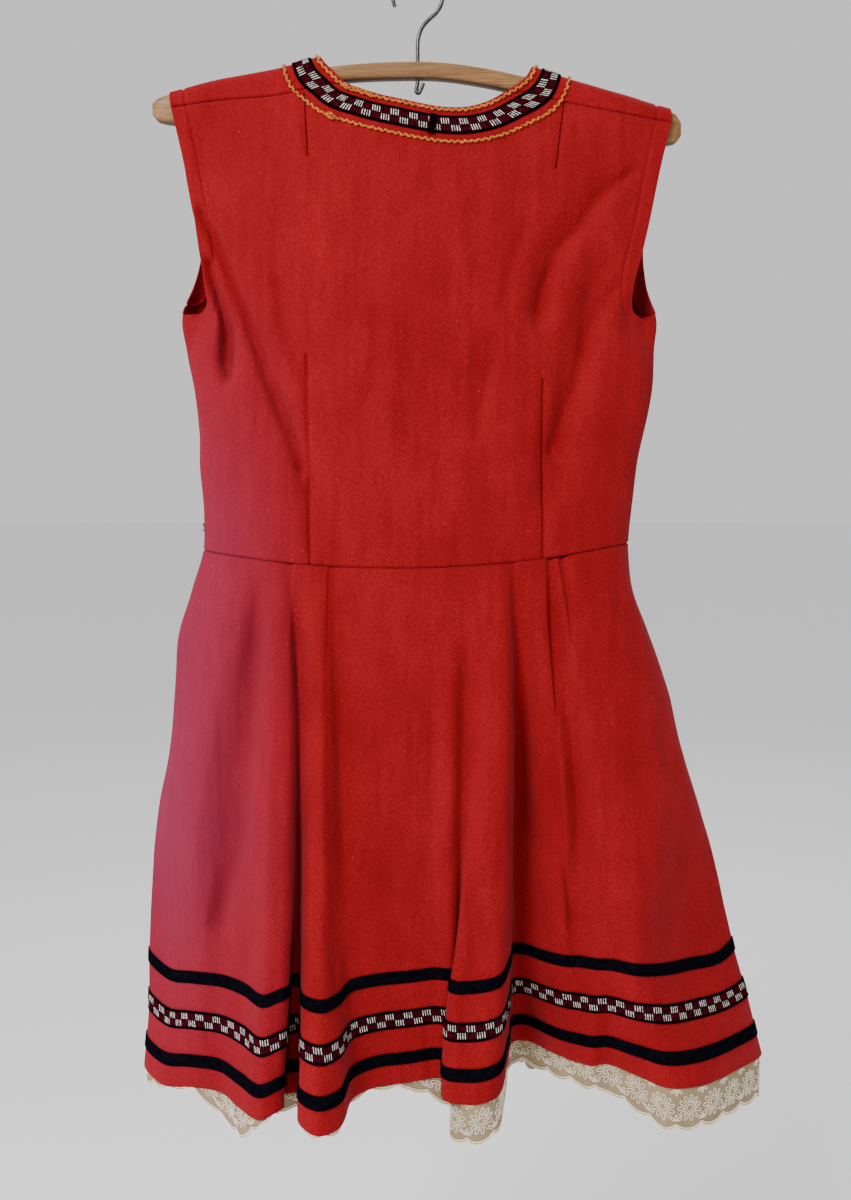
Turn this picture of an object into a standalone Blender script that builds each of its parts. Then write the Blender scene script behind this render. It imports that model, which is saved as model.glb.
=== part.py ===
"""A sleeveless folk dress of red wool, seen from its back, hanging on a wooden hanger.

Metres, +Z up. The origin is the inside top of the hanger's wire hook. The back of the
dress faces -Y and is called the back here; the front faces +Y. Every wall is made from
the outer points of its panel, and every ribbon is made from the same points, moved out.
"""
import math

import bpy
import numpy as np

# Walls and gaps
WOOL = 0.0016
TRIM = 0.0010
LACE = 0.0010
LIFT = 0.0003
SEAM_HALF_GAP = 0.00015
WAIST_HALF_GAP = 0.0002
SHARP = math.radians(50)

# Shoulders: the cloth is wrapped over the hanger in an arc
WRAP = 0.011
QUARTER = math.pi * WRAP / 2
WRAP_FADE = 0.09
SEAM_TIP_LEFT = (-0.203, -0.112)
SEAM_TIP_RIGHT = (0.209, -0.124)
SEAM_NECK_LEFT = (-0.060, -0.0925)
SEAM_NECK_RIGHT = (0.074, -0.099)
SEAM_MID_LEFT = (-0.105, -0.1005)
SEAM_MID_RIGHT = (0.112, -0.1055)

# Heights where the bodice changes
UNDERARM = -0.279
WAIST_LEFT = -0.477
WAIST_RIGHT = -0.471
WAIST_DROP = 0.017

# The top of the shoulders: x, z
RIDGE = (
    (-0.222, -0.1010),
    (-0.206, -0.0970),
    (-0.167, -0.0875),
    (-0.120, -0.0785),
    (-0.080, -0.0680),
    (0.000, -0.0660),
    (0.093, -0.0760),
    (0.130, -0.0875),
    (0.176, -0.1010),
    (0.208, -0.1100),
    (0.224, -0.1145),
)

# The outer outline, from the shoulder tips to the hem: z, left x, right x
OUTLINE = (
    (-0.929, -0.241, 0.305),
    (-0.882, -0.237, 0.293),
    (-0.828, -0.235, 0.277),
    (-0.756, -0.231, 0.260),
    (-0.703, -0.225, 0.245),
    (-0.650, -0.215, 0.228),
    (-0.598, -0.209, 0.215),
    (-0.546, -0.205, 0.197),
    (-0.512, -0.194, 0.184),
    (-0.476, -0.183, 0.179),
    (-0.443, -0.183, 0.182),
    (-0.409, -0.186, 0.1855),
    (-0.376, -0.1855, 0.192),
    (-0.342, -0.189, 0.198),
    (-0.309, -0.196, 0.200),
    (-0.279, -0.199, 0.201),
    (-0.270, -0.1965, 0.198),
    (-0.257, -0.191, 0.194),
    (-0.240, -0.186, 0.192),
    (-0.215, -0.184, 0.192),
    (-0.190, -0.187, 0.196),
    (-0.150, -0.195, 0.203),
    (-0.110, -0.204, 0.2095),
    (-0.090, -0.207, 0.210),
)

# The armhole edge of the back panel, from the underarm up: rise, left x, z, right x, z
BACK_ARMHOLE = (
    (0.00, -0.199, -0.279, 0.201, -0.279),
    (0.06, -0.189, -0.2735, 0.191, -0.275),
    (0.14, -0.182, -0.265, 0.184, -0.268),
    (0.26, -0.179, -0.250, 0.181, -0.254),
    (0.42, -0.182, -0.222, 0.186, -0.230),
    (0.62, -0.188, -0.186, 0.194, -0.194),
    (0.81, -0.195, -0.148, 0.201, -0.158),
    (1.00, -0.203, -0.112, 0.209, -0.124),
)

# How full the bodice stands: z, back depth, front depth, depth at its edges, roundness
FULLNESS = (
    (-0.480, 0.038, 0.036, 0.000, 2.0),
    (-0.400, 0.036, 0.040, 0.000, 2.0),
    (-0.320, 0.036, 0.046, 0.000, 2.0),
    (-0.279, 0.035, 0.045, 0.000, 2.0),
    (-0.262, 0.034, 0.043, 0.006, 1.7),
    (-0.235, 0.033, 0.040, 0.012, 1.3),
    (-0.190, 0.030, 0.034, 0.012, 1.2),
    (-0.140, 0.026, 0.028, 0.012, 1.2),
    (-0.090, 0.022, 0.022, 0.012, 1.2),
)
SECTION_POWER = 2.6

# Soft folds and stitched darts of the back bodice: depth, half width, path of (x, z)
BACK_FOLDS = (
    (0.0055, 0.010, ((-0.184, -0.136), (-0.160, -0.220), (-0.131, -0.306), (-0.090, -0.425))),
    (0.0090, 0.009, ((-0.172, -0.203), (-0.164, -0.248), (-0.157, -0.290), (-0.158, -0.317))),
    (0.0035, 0.009, ((-0.112, -0.260), (-0.103, -0.309), (-0.094, -0.330))),
    (0.0070, 0.011, ((0.184, -0.143), (0.148, -0.185), (0.110, -0.233), (0.101, -0.279))),
    (0.0090, 0.014, ((0.158, -0.242), (0.140, -0.284), (0.119, -0.369), (0.110, -0.425))),
    (0.0030, 0.010, ((0.056, -0.311), (0.048, -0.371))),
    (0.0016, 0.004, ((-0.091, -0.320), (-0.090, -0.480))),
    (0.0016, 0.004, ((0.103, -0.340), (0.104, -0.480))),
    (0.0012, 0.004, ((-0.093, -0.104), (-0.090, -0.150))),
    (0.0012, 0.004, ((0.120, -0.111), (0.113, -0.163))),
)

# Soft folds and darts of the hidden front bodice
FRONT_FOLDS = (
    (0.0050, 0.012, ((-0.178, -0.170), (-0.140, -0.240), (-0.105, -0.300))),
    (0.0050, 0.012, ((0.186, -0.175), (0.150, -0.240), (0.118, -0.300))),
    (0.0030, 0.012, ((-0.060, -0.320), (-0.048, -0.420))),
    (0.0030, 0.012, ((0.040, -0.330), (0.056, -0.430))),
    (0.0016, 0.004, ((-0.095, -0.330), (-0.090, -0.480))),
    (0.0016, 0.004, ((0.098, -0.330), (0.096, -0.480))),
)

# Columns of the shoulders, as shares from the armhole edge to the neck trim
SHOULDER_SHARES = (0.0, 0.025, 0.11, 0.29, 0.52, 0.76, 1.0)

# The same columns further down the back bodice: share of its half width at waist and chest
BACK_LEFT_COLUMNS = (
    (-1.000, -1.000),
    (-0.985, -0.985),
    (-0.930, -0.930),
    (-0.820, -0.820),
    (-0.700, -0.690),
    (-0.590, -0.580),
)
BACK_RIGHT_COLUMNS = (
    (0.585, 0.525),
    (0.700, 0.650),
    (0.820, 0.790),
    (0.930, 0.920),
    (0.985, 0.983),
    (1.000, 1.000),
)
BACK_NECK_SHARES = (-0.490, -0.490, 0.530, 0.480)
BACK_NECK_CELLS = 11

# Columns of the front bodice
FRONT_NECK_SHARES = (-0.430, 0.455)
FRONT_NECK_CELLS = 8
FRONT_RISE = (0.0, 0.07, 0.18, 0.34, 0.55, 0.77, 1.0)

# The armhole edge where it crosses the ridge: left x, right x
RIDGE_EDGE = (-0.206, 0.2095)
EDGE_STEPS = 3

# How far in from an armhole the columns bend to follow it, as a share of the width
EDGE_REACH = 0.45

# Rows of the bodice below the underarm, as shares from the waist up
LOWER_ROWS = 11

# The neck edge, round from the left shoulder seam: x, z (None on the ridge), side
NECK_EDGE = (
    (-0.060, -0.0925, 1),
    (-0.047, -0.0975, 1),
    (-0.033, -0.1020, 1),
    (-0.012, -0.1070, 1),
    (0.004, -0.1105, 1),
    (0.021, -0.1132, 1),
    (0.040, -0.1130, 1),
    (0.058, -0.1080, 1),
    (0.074, -0.0990, 1),
    (0.085, -0.0920, 1),
    (0.0918, -0.0845, 1),
    (0.0955, None, 0),
    (0.0935, -0.0890, -1),
    (0.0840, -0.1080, -1),
    (0.0670, -0.1300, -1),
    (0.0400, -0.1460, -1),
    (0.0060, -0.1520, -1),
    (-0.0280, -0.1460, -1),
    (-0.0550, -0.1270, -1),
    (-0.0710, -0.1020, -1),
    (-0.0790, -0.0800, -1),
    (-0.0810, None, 0),
    (-0.0780, -0.0745, 1),
    (-0.0690, -0.0840, 1),
)
NECK_SEAM_LEFT = 0
NECK_SEAM_RIGHT = 8
NECK_CORNER_RIGHT = 14
NECK_CORNER_LEFT = 18
NECK_SAMPLES = 40
SEAM_BLEND = 0.030
BISECTIONS = 24

# Widths round the neck, measured out from its edge
BRAID_INNER = (0.0020, 0.0050)
RIBBON = (0.0080, 0.0230)
BRAID_OUTER = (0.0285, 0.0315)
NECK_OFFSETS = (0.0,) + BRAID_INNER + RIBBON + BRAID_OUTER

# Where the shoulder strip is cut across, as runs from the ridge
STRAP_BEFORE = 2
STRAP_ARC = 8
STRAP_AFTER = 3

# Ribbons and lace, measured up from the hem
VELVET_LOWER = (0.017, 0.027)
WOVEN = (0.0485, 0.0635)
VELVET_UPPER = (0.087, 0.097)
HEM_HEIGHTS = (0.0,) + VELVET_LOWER + WOVEN + VELVET_UPPER
UPPER_ROWS = 7
MID_STATION = 0.445
BAND_STATION = 0.80

# Fold lines of the back skirt, from the left side to the right: waist x, mid x, mid depth,
# depth at the upper ribbon, hem x, hem depth, hem z, lace
BACK_SKIRT = (
    (-0.162, -0.204, 0.026, 0.018, -0.218, 0.035, -0.933, 0.004),
    (-0.143, -0.181, 0.042, 0.041, -0.192, 0.050, -0.928, 0.004),
    (-0.128, -0.154, 0.040, 0.050, -0.167, 0.058, -0.928, 0.024),
    (-0.121, -0.136, 0.054, 0.062, -0.147, 0.082, -0.930, 0.028),
    (-0.113, -0.120, 0.066, 0.087, -0.126, 0.104, -0.930, 0.006),
    (-0.106, -0.107, 0.062, 0.084, -0.113, 0.098, -0.925, 0.004),
    (-0.103, -0.103, 0.038, 0.052, -0.112, 0.062, -0.927, 0.018),
    (-0.098, -0.098, 0.038, 0.053, -0.098, 0.066, -0.925, 0.018),
    (-0.089, -0.089, 0.060, 0.082, -0.094, 0.108, -0.932, 0.005),
    (-0.080, -0.078, 0.066, 0.087, -0.078, 0.122, -0.934, 0.004),
    (-0.074, -0.071, 0.060, 0.075, -0.062, 0.112, -0.933, 0.004),
    (-0.070, -0.062, 0.050, 0.062, -0.053, 0.072, -0.928, 0.004),
    (-0.056, -0.041, 0.052, 0.057, -0.036, 0.058, -0.925, 0.004),
    (-0.015, -0.008, 0.054, 0.051, -0.007, 0.050, -0.924, 0.008),
    (0.018, 0.018, 0.052, 0.050, 0.019, 0.046, -0.921, 0.024),
    (0.037, 0.037, 0.046, 0.045, 0.033, 0.043, -0.923, 0.032),
    (0.047, 0.043, 0.052, 0.063, 0.025, 0.071, -0.927, 0.036),
    (0.062, 0.058, 0.060, 0.065, 0.046, 0.084, -0.927, 0.036),
    (0.073, 0.072, 0.058, 0.062, 0.066, 0.078, -0.923, 0.034),
    (0.078, 0.079, 0.048, 0.044, 0.076, 0.040, -0.914, 0.026),
    (0.081, 0.082, 0.020, 0.012, 0.084, -0.005, -0.913, 0.022),
    (0.086, 0.088, 0.018, 0.013, 0.095, -0.008, -0.913, 0.023),
    (0.096, 0.105, 0.036, 0.028, 0.115, 0.010, -0.915, 0.023),
    (0.104, 0.120, 0.046, 0.035, 0.127, 0.021, -0.916, 0.022),
    (0.109, 0.133, 0.038, 0.034, 0.137, 0.027, -0.917, 0.022),
    (0.115, 0.147, 0.050, 0.043, 0.149, 0.036, -0.916, 0.024),
    (0.124, 0.160, 0.052, 0.047, 0.161, 0.035, -0.915, 0.027),
    (0.133, 0.180, 0.050, 0.053, 0.182, 0.050, -0.917, 0.033),
    (0.149, 0.204, 0.040, 0.042, 0.206, 0.068, -0.920, 0.038),
    (0.159, 0.217, 0.030, 0.026, 0.236, 0.062, -0.921, 0.038),
    (0.167, 0.229, 0.018, 0.012, 0.275, 0.034, -0.919, 0.038),
)

# Fold lines of the hidden front skirt, from the right side to the left, same columns
FRONT_SKIRT = (
    (0.167, 0.230, 0.020, 0.022, 0.286, 0.030, -0.920, 0.036),
    (0.155, 0.213, 0.038, 0.046, 0.258, 0.056, -0.921, 0.037),
    (0.142, 0.191, 0.040, 0.045, 0.224, 0.050, -0.919, 0.036),
    (0.127, 0.167, 0.050, 0.061, 0.190, 0.072, -0.922, 0.037),
    (0.112, 0.142, 0.058, 0.074, 0.160, 0.088, -0.924, 0.037),
    (0.096, 0.117, 0.052, 0.062, 0.131, 0.070, -0.922, 0.036),
    (0.083, 0.098, 0.034, 0.037, 0.110, 0.036, -0.919, 0.034),
    (0.068, 0.082, 0.052, 0.065, 0.092, 0.078, -0.925, 0.036),
    (0.048, 0.060, 0.062, 0.078, 0.068, 0.094, -0.927, 0.037),
    (0.026, 0.036, 0.054, 0.060, 0.044, 0.066, -0.924, 0.036),
    (0.002, 0.008, 0.048, 0.049, 0.014, 0.050, -0.922, 0.036),
    (-0.024, -0.020, 0.052, 0.056, -0.014, 0.060, -0.924, 0.036),
    (-0.046, -0.044, 0.062, 0.076, -0.040, 0.090, -0.928, 0.037),
    (-0.066, -0.068, 0.056, 0.067, -0.064, 0.078, -0.928, 0.036),
    (-0.082, -0.088, 0.035, 0.039, -0.086, 0.042, -0.924, 0.034),
    (-0.096, -0.106, 0.054, 0.068, -0.104, 0.082, -0.928, 0.036),
    (-0.112, -0.126, 0.056, 0.070, -0.128, 0.084, -0.929, 0.037),
    (-0.127, -0.147, 0.040, 0.045, -0.154, 0.050, -0.925, 0.034),
    (-0.144, -0.173, 0.046, 0.054, -0.184, 0.064, -0.928, 0.036),
    (-0.163, -0.202, 0.026, 0.030, -0.216, 0.034, -0.931, 0.034),
)
SEAM_LEFT_HEM = (-0.929, 0.018)
SEAM_RIGHT_HEM = (-0.920, 0.038)
WALLS_PER_FOLD = 2

# The ribbons stand a little higher at the side seams
SIDE_RISE = 1.075

# The side fastening on the left gapes a little: lowest z, highest z, extra half gap
PLACKET = (-0.455, -0.372, 0.0016)
HOOK_Z = -0.458
HOOK_WIRE = 0.0006
HOOK_LOOP = (0.0032, 0.0022)
HOOK_LOOP_SWEEP = (-150.0, 150.0)
HOOK_LOOP_STEPS = 10

# The hanger bar: x, top z, bottom z, half thickness
BAR = (
    (-0.2205, -0.1060, -0.1155, 0.0025),
    (-0.2170, -0.1032, -0.1200, 0.0048),
    (-0.2080, -0.0998, -0.1232, 0.0060),
    (-0.1900, -0.0952, -0.1225, 0.0060),
    (-0.1650, -0.0893, -0.1130, 0.0060),
    (-0.1300, -0.0838, -0.1010, 0.0060),
    (-0.0900, -0.0790, -0.0930, 0.0060),
    (-0.0550, -0.0750, -0.0890, 0.0060),
    (-0.0200, -0.0730, -0.0875, 0.0060),
    (0.0200, -0.0735, -0.0880, 0.0060),
    (0.0550, -0.0780, -0.0930, 0.0060),
    (0.0900, -0.0850, -0.1005, 0.0060),
    (0.1300, -0.0920, -0.1110, 0.0060),
    (0.1650, -0.1001, -0.1240, 0.0060),
    (0.1880, -0.1067, -0.1370, 0.0060),
    (0.2050, -0.1115, -0.1405, 0.0060),
    (0.2150, -0.1155, -0.1380, 0.0048),
    (0.2190, -0.1220, -0.1330, 0.0025),
)
BAR_CORNER = 0.0045
BAR_CORNER_STEPS = 2

# The wire hook: its loop's centre is straight above the bar
HOOK_RADIUS = 0.0017
HOOK_INSIDE = 0.019
HOOK_HOLE = 0.0021
HOLE_Z = -0.080
HOLE_LENGTH = 0.060
HOLE_SIDES = 16
HOOK_FOOT = (
    (0.0080, -0.0985),
    (0.0050, -0.0985),
    (0.0022, -0.0972),
    (0.0005, -0.0948),
    (0.0000, -0.0915),
    (0.0000, -0.0760),
    (0.0000, -0.0640),
    (0.0004, -0.0540),
    (0.0035, -0.0450),
)
HOOK_SWEEP = (-58.0, 205.0)
HOOK_STEPS = 18

# Colours: red, green, blue, roughness, metallic
RED_WOOL = (0.42, 0.014, 0.018, 0.85, 0.0)
VELVET = (0.012, 0.014, 0.018, 0.7, 0.0)
WOVEN_RIBBON = (0.10, 0.035, 0.035, 0.75, 0.0)
GOLD_BRAID = (0.55, 0.22, 0.03, 0.6, 0.0)
LACE_THREAD = (0.55, 0.48, 0.38, 0.8, 0.0)
WOOD = (0.55, 0.33, 0.16, 0.45, 0.0)
WIRE = (0.5, 0.5, 0.5, 0.3, 1.0)


def read_table(table, key):
    """The columns of a table at a key, on a smooth curve through its rows."""
    low = table[0][0] < table[-1][0]
    rows = table if low else table[::-1]
    keys = [row[0] for row in rows]
    if key <= keys[0]:
        return np.array(rows[0][1:])
    if key >= keys[-1]:
        return np.array(rows[-1][1:])
    i = int(np.searchsorted(keys, key, side="right")) - 1
    values = [np.array(row[1:]) for row in rows]

    def slope(k):
        if k == 0:
            return (values[1] - values[0]) / (keys[1] - keys[0])
        if k == len(keys) - 1:
            return (values[-1] - values[-2]) / (keys[-1] - keys[-2])
        before = (values[k] - values[k - 1]) / (keys[k] - keys[k - 1])
        after = (values[k + 1] - values[k]) / (keys[k + 1] - keys[k])
        ahead = keys[k + 1] - keys[k]
        behind = keys[k] - keys[k - 1]
        return (before * ahead + after * behind) / (ahead + behind)

    span = keys[i + 1] - keys[i]
    t = (key - keys[i]) / span
    rise = t * t * (3 - 2 * t)
    leave = t * (1 - t) ** 2 * span
    arrive = t * t * (t - 1) * span
    return values[i] * (1 - rise) + values[i + 1] * rise + slope(i) * leave + slope(i + 1) * arrive


def smooth(value):
    """0 below 0, 1 above 1, with a soft start and end."""
    t = min(1.0, max(0.0, value))
    return t * t * (3 - 2 * t)


def closed_curve(points, samples):
    """A closed centripetal curve through the points, with samples in each interval."""
    points = np.asarray(points, dtype=float)
    count = len(points)
    result = []
    for i in range(count):
        p0, p1, p2, p3 = (points[(i + k - 1) % count] for k in range(4))
        k01 = math.sqrt(np.linalg.norm(p1 - p0))
        k12 = math.sqrt(np.linalg.norm(p2 - p1))
        k23 = math.sqrt(np.linalg.norm(p3 - p2))
        leave = ((p1 - p0) / k01 - (p2 - p0) / (k01 + k12) + (p2 - p1) / k12) * k12
        arrive = ((p2 - p1) / k12 - (p3 - p1) / (k12 + k23) + (p3 - p2) / k23) * k12
        for step in range(samples):
            t = step / samples
            rise = t * t * (3 - 2 * t)
            result.append(p1 * (1 - rise) + p2 * rise
                          + leave * t * (1 - t) ** 2 + arrive * t * t * (t - 1))
    return np.array(result)


def ridge(x):
    """Height of the top of the shoulders at x."""
    return float(read_table(RIDGE, x)[0])


def run_at(x, z):
    """Distance down the cloth from the ridge to height z."""
    drop = max(0.0, ridge(x) - z)
    if drop < WRAP:
        return WRAP * math.acos(1 - drop / WRAP)
    return QUARTER + drop - WRAP


def fold_depth(x, z, folds):
    """How far the folds push the cloth in at a point."""
    total = 0.0
    for depth, half_width, path in folds:
        nearest = 1.0
        for (x0, z0), (x1, z1) in zip(path, path[1:]):
            along_x = x1 - x0
            along_z = z1 - z0
            length = along_x * along_x + along_z * along_z
            t = ((x - x0) * along_x + (z - z0) * along_z) / length
            t = min(1.0, max(0.0, t))
            nearest = min(nearest, math.hypot(x - x0 - t * along_x, z - z0 - t * along_z))
        total += depth * math.exp(-(nearest / half_width) ** 2)
    return total


def bodice_depth(x, z, side):
    """How far the bodice stands out at x and z, on the back (1) or the front (-1)."""
    left, right = read_table(OUTLINE, z)
    share = abs(x - (left + right) / 2) / ((right - left) / 2)
    back, front, edge, roundness = read_table(FULLNESS, z)
    full = back if side > 0 else front
    crown = max(0.0, 1 - min(1.0, share) ** SECTION_POWER) ** (1 / roundness)
    folds = fold_depth(x, z, BACK_FOLDS if side > 0 else FRONT_FOLDS)
    return edge + (full - edge - folds) * crown


def bodice_point(x, run):
    """The point on the bodice at x, at a run down the back (+) or the front (-)."""
    side = 1 if run >= 0 else -1
    reach = abs(run)
    if reach < QUARTER:
        angle = reach / WRAP
        drop = WRAP * (1 - math.cos(angle))
        depth = WRAP * math.sin(angle)
    else:
        drop = WRAP + reach - QUARTER
        depth = bodice_depth(x, ridge(x) - drop, side)
        depth = WRAP + (depth - WRAP) * smooth((reach - QUARTER) / WRAP_FADE)
    return np.array((x, -side * depth, ridge(x) - drop))


def lower_point(share, rise, side):
    """The point of the bodice between the waist (rise 0) and the underarm (rise 1)."""
    z_left = WAIST_LEFT + (UNDERARM - WAIST_LEFT) * rise
    z_right = WAIST_RIGHT + (UNDERARM - WAIST_RIGHT) * rise
    left = read_table(OUTLINE, z_left)[0]
    right = read_table(OUTLINE, z_right)[1]
    z = z_left + (z_right - z_left) * (share + 1) / 2
    z -= WAIST_DROP * (1 - rise) ** 3 * (1 - share * share)
    x = (left + right) / 2 + share * (right - left) / 2
    back, front = read_table(FULLNESS, z)[:2]
    full = back if side > 0 else front
    crown = math.sqrt(max(0.0, 1 - abs(share) ** SECTION_POWER))
    folds = fold_depth(x, z, BACK_FOLDS if side > 0 else FRONT_FOLDS)
    return np.array((x, -side * (full - folds) * crown, z))


def neck_curve():
    """The neck edge as flat pattern points (x, run) in a closed dense curve."""
    points = []
    for x, z, side in NECK_EDGE:
        points.append((x, 0.0 if z is None else side * run_at(x, z)))
    return closed_curve(points, NECK_SAMPLES)


def evenly(points, cells):
    """Points along a line, the same distance apart."""
    steps = np.linalg.norm(np.diff(points, axis=0), axis=1)
    places = np.concatenate(([0.0], np.cumsum(steps)))
    wanted = np.linspace(0.0, places[-1], cells + 1)
    return np.column_stack([np.interp(wanted, places, points[:, k]) for k in (0, 1)])


def by_run(points, runs):
    """Points of a line at the given runs, where its runs only rise or only fall."""
    order = np.argsort(points[:, 1])
    x = np.interp(runs, points[order, 1], points[order, 0])
    return np.column_stack((x, runs))


def strap_runs(first, last):
    """Runs from the shoulder seam over the ridge to the corner of the front neckline."""
    before = np.linspace(first, QUARTER, STRAP_BEFORE + 1)[:-1]
    arc = np.linspace(QUARTER, -QUARTER, STRAP_ARC + 1)[:-1]
    after = np.linspace(-QUARTER, last, STRAP_AFTER + 1)
    return np.concatenate((before, arc, after))


def shoulder_ways():
    """Where each shoulder seam leaves the neck edge, and its way out to the arm."""
    ways = {}
    for side, neck, mid in ((-1, SEAM_NECK_LEFT, SEAM_MID_LEFT),
                            (1, SEAM_NECK_RIGHT, SEAM_MID_RIGHT)):
        start = np.array((neck[0], run_at(*neck)))
        end = np.array((mid[0], run_at(*mid)))
        ways[side] = (start, (end - start) / np.linalg.norm(end - start))
    return ways


def way_out(point, straight, sides, seams):
    """The way out from a neck point, turned to run along the shoulder seams beside it."""
    way = straight
    for side in sides:
        start, along_seam = seams[side]
        across = np.array((side, 0.0))
        if len(sides) == 2:
            share = 1 - smooth(np.linalg.norm(point - start) / SEAM_BLEND)
            way = way * (1 - share) + along_seam * share
        elif point[1] > QUARTER:
            share = (point[1] - QUARTER) / (start[1] - QUARTER)
            way = across * (1 - share) + along_seam * share
        else:
            share = smooth((-point[1] - QUARTER) / SEAM_BLEND)
            way = across * (1 - share) + straight * share
    return way / np.linalg.norm(way)


def neck_spans():
    """The four stretches of the neck edge, and the way out from each of their points."""
    dense = neck_curve()
    loop = np.vstack((dense, dense[:1]))
    tangent = np.roll(dense, -1, axis=0) - np.roll(dense, 1, axis=0)
    tangent /= np.linalg.norm(tangent, axis=1)[:, None]
    normal = np.column_stack((tangent[:, 1], -tangent[:, 0]))
    if np.sum((dense - dense.mean(axis=0)) * normal) < 0:
        normal = -normal
    marks = [k * NECK_SAMPLES for k in (NECK_SEAM_LEFT, NECK_SEAM_RIGHT,
                                        NECK_CORNER_RIGHT, NECK_CORNER_LEFT)]
    marks.append(len(dense))
    back, right, bottom, left = (loop[a:b + 1] for a, b in zip(marks, marks[1:]))
    spans = (
        (evenly(back, BACK_NECK_CELLS), (-1, 1)),
        (by_run(right, strap_runs(right[0, 1], right[-1, 1])), (1,)),
        (evenly(bottom, FRONT_NECK_CELLS), ()),
        (by_run(left, strap_runs(left[-1, 1], left[0, 1]))[::-1], (-1,)),
    )
    seams = shoulder_ways()
    ways = []
    for span, sides in spans:
        nearest = [int(np.argmin(np.linalg.norm(dense - point, axis=1))) for point in span]
        ways.append([way_out(point, normal[k], sides, seams)
                     for point, k in zip(span, nearest)])
    return [span for span, _ in spans], ways, dense


def out_from(point, way, offset, edge):
    """The point along a way whose distance from the neck edge is the offset."""
    low = 0.0
    high = offset * 2.5
    for _ in range(BISECTIONS):
        mid = (low + high) / 2
        if np.min(np.linalg.norm(edge - (point + way * mid), axis=1)) < offset:
            low = mid
        else:
            high = mid
    return point + way * (low + high) / 2


def neck_zone():
    """Patches of pattern points round the neck: rows from the outer braid to the edge."""
    spans, ways, edge = neck_spans()
    zones = []
    for span, span_ways in zip(spans, ways):
        rows = [[out_from(point, way, offset, edge) for point, way in zip(span, span_ways)]
                for offset in reversed(NECK_OFFSETS[1:])]
        zones.append(np.array(rows + [list(span)]))
    return zones


def lift_pattern(rows):
    """Turn rows of pattern points into rows of points on the bodice."""
    return np.array([[bodice_point(x, run) for x, run in row] for row in rows])


def coons(bottom, top, left, right, rise):
    """Rows between two lines, bent near the ends to follow the two edges."""
    share = np.linspace(0.0, 1.0, len(bottom))
    near_left = np.array([1 - smooth(s / EDGE_REACH) for s in share])
    near_right = near_left[::-1]
    rows = []
    for k, t in enumerate(rise):
        row = bottom * (1 - t) + top * t
        row = row + np.outer(near_left, left[k] - row[0]) + np.outer(near_right, right[k] - row[-1])
        rows.append(row)
    return np.array(rows)


def pattern_row(shares, side):
    """Pattern points of the underarm row at the given shares."""
    row = []
    for share in shares:
        x, _, z = lower_point(share, 1.0, side)
        row.append((x, side * run_at(x, z)))
    return np.array(row)


def lower_patch(waist_shares, chest_shares, side):
    """The bodice from the waist up to the underarm."""
    waist = np.array(waist_shares)
    chest = np.array(chest_shares)
    rows = []
    for k in range(LOWER_ROWS + 1):
        rise = k / LOWER_ROWS
        shares = waist * (1 - rise) + chest * rise
        rows.append([lower_point(share, rise, side) for share in shares])
    return np.array(rows)


def shoulder_row(side, inner):
    """Pattern points along a shoulder seam, from its tip in to the neck trim."""
    tip = SEAM_TIP_LEFT if side < 0 else SEAM_TIP_RIGHT
    start = np.array((tip[0], run_at(*tip)))
    return np.array([start + (inner - start) * share for share in SHOULDER_SHARES])


def back_bodice():
    """Patches of the back bodice, columns from left to right and rows upwards."""
    zone = neck_zone()[0]
    rim = zone[0]
    left_top = shoulder_row(-1, rim[0])[:-1]
    right_top = shoulder_row(1, rim[-1])[::-1][1:]
    top = np.vstack((left_top, rim, right_top))
    mid = np.linspace(0.0, 1.0, BACK_NECK_CELLS + 1)
    w0, c0, w1, c1 = BACK_NECK_SHARES
    waist = ([c[0] for c in BACK_LEFT_COLUMNS] + list(w0 + (w1 - w0) * mid)
             + [c[0] for c in BACK_RIGHT_COLUMNS])
    chest = ([c[1] for c in BACK_LEFT_COLUMNS] + list(c0 + (c1 - c0) * mid)
             + [c[1] for c in BACK_RIGHT_COLUMNS])
    lower = lower_patch(waist, chest, 1)
    bottom = pattern_row(chest, 1)
    rise = [row[0] for row in BACK_ARMHOLE]
    left = [(row[1], run_at(row[1], row[2])) for row in BACK_ARMHOLE]
    right = [(row[3], run_at(row[3], row[4])) for row in BACK_ARMHOLE]
    upper = lift_pattern(coons(bottom, top, np.array(left), np.array(right), rise))
    upper[0] = lower[-1]
    return [lower, upper, lift_pattern(zone)]


def front_edge(side, run):
    """Pattern point of the front armhole edge at a run from the ridge."""
    x = RIDGE_EDGE[0] if side < 0 else RIDGE_EDGE[1]
    if run >= 0:
        tip = SEAM_TIP_LEFT if side < 0 else SEAM_TIP_RIGHT
        x += (tip[0] - x) * run / run_at(*tip)
        return (x, run)
    for _ in range(EDGE_STEPS):
        drop = -run - QUARTER + WRAP if -run > QUARTER else WRAP * (1 - math.cos(-run / WRAP))
        left, right = read_table(OUTLINE, ridge(x) - drop)
        x = left if side < 0 else right
    return (x, run)


def front_strap(zone, side):
    """Pattern rows of a shoulder strip, from its armhole edge in to the neck zone."""
    rim = zone[0]
    tip = SEAM_TIP_LEFT if side < 0 else SEAM_TIP_RIGHT
    top_run = rim[-1][1] if side < 0 else rim[0][1]
    columns = []
    for x, run in rim:
        edge_run = run * run_at(*tip) / top_run if run > 0 else run
        edge = np.array(front_edge(side, edge_run))
        columns.append([edge + (np.array((x, run)) - edge) * s for s in SHOULDER_SHARES])
    columns[-1 if side < 0 else 0] = shoulder_row(side, rim[-1 if side < 0 else 0])
    return np.array(columns).transpose(1, 0, 2)


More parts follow.
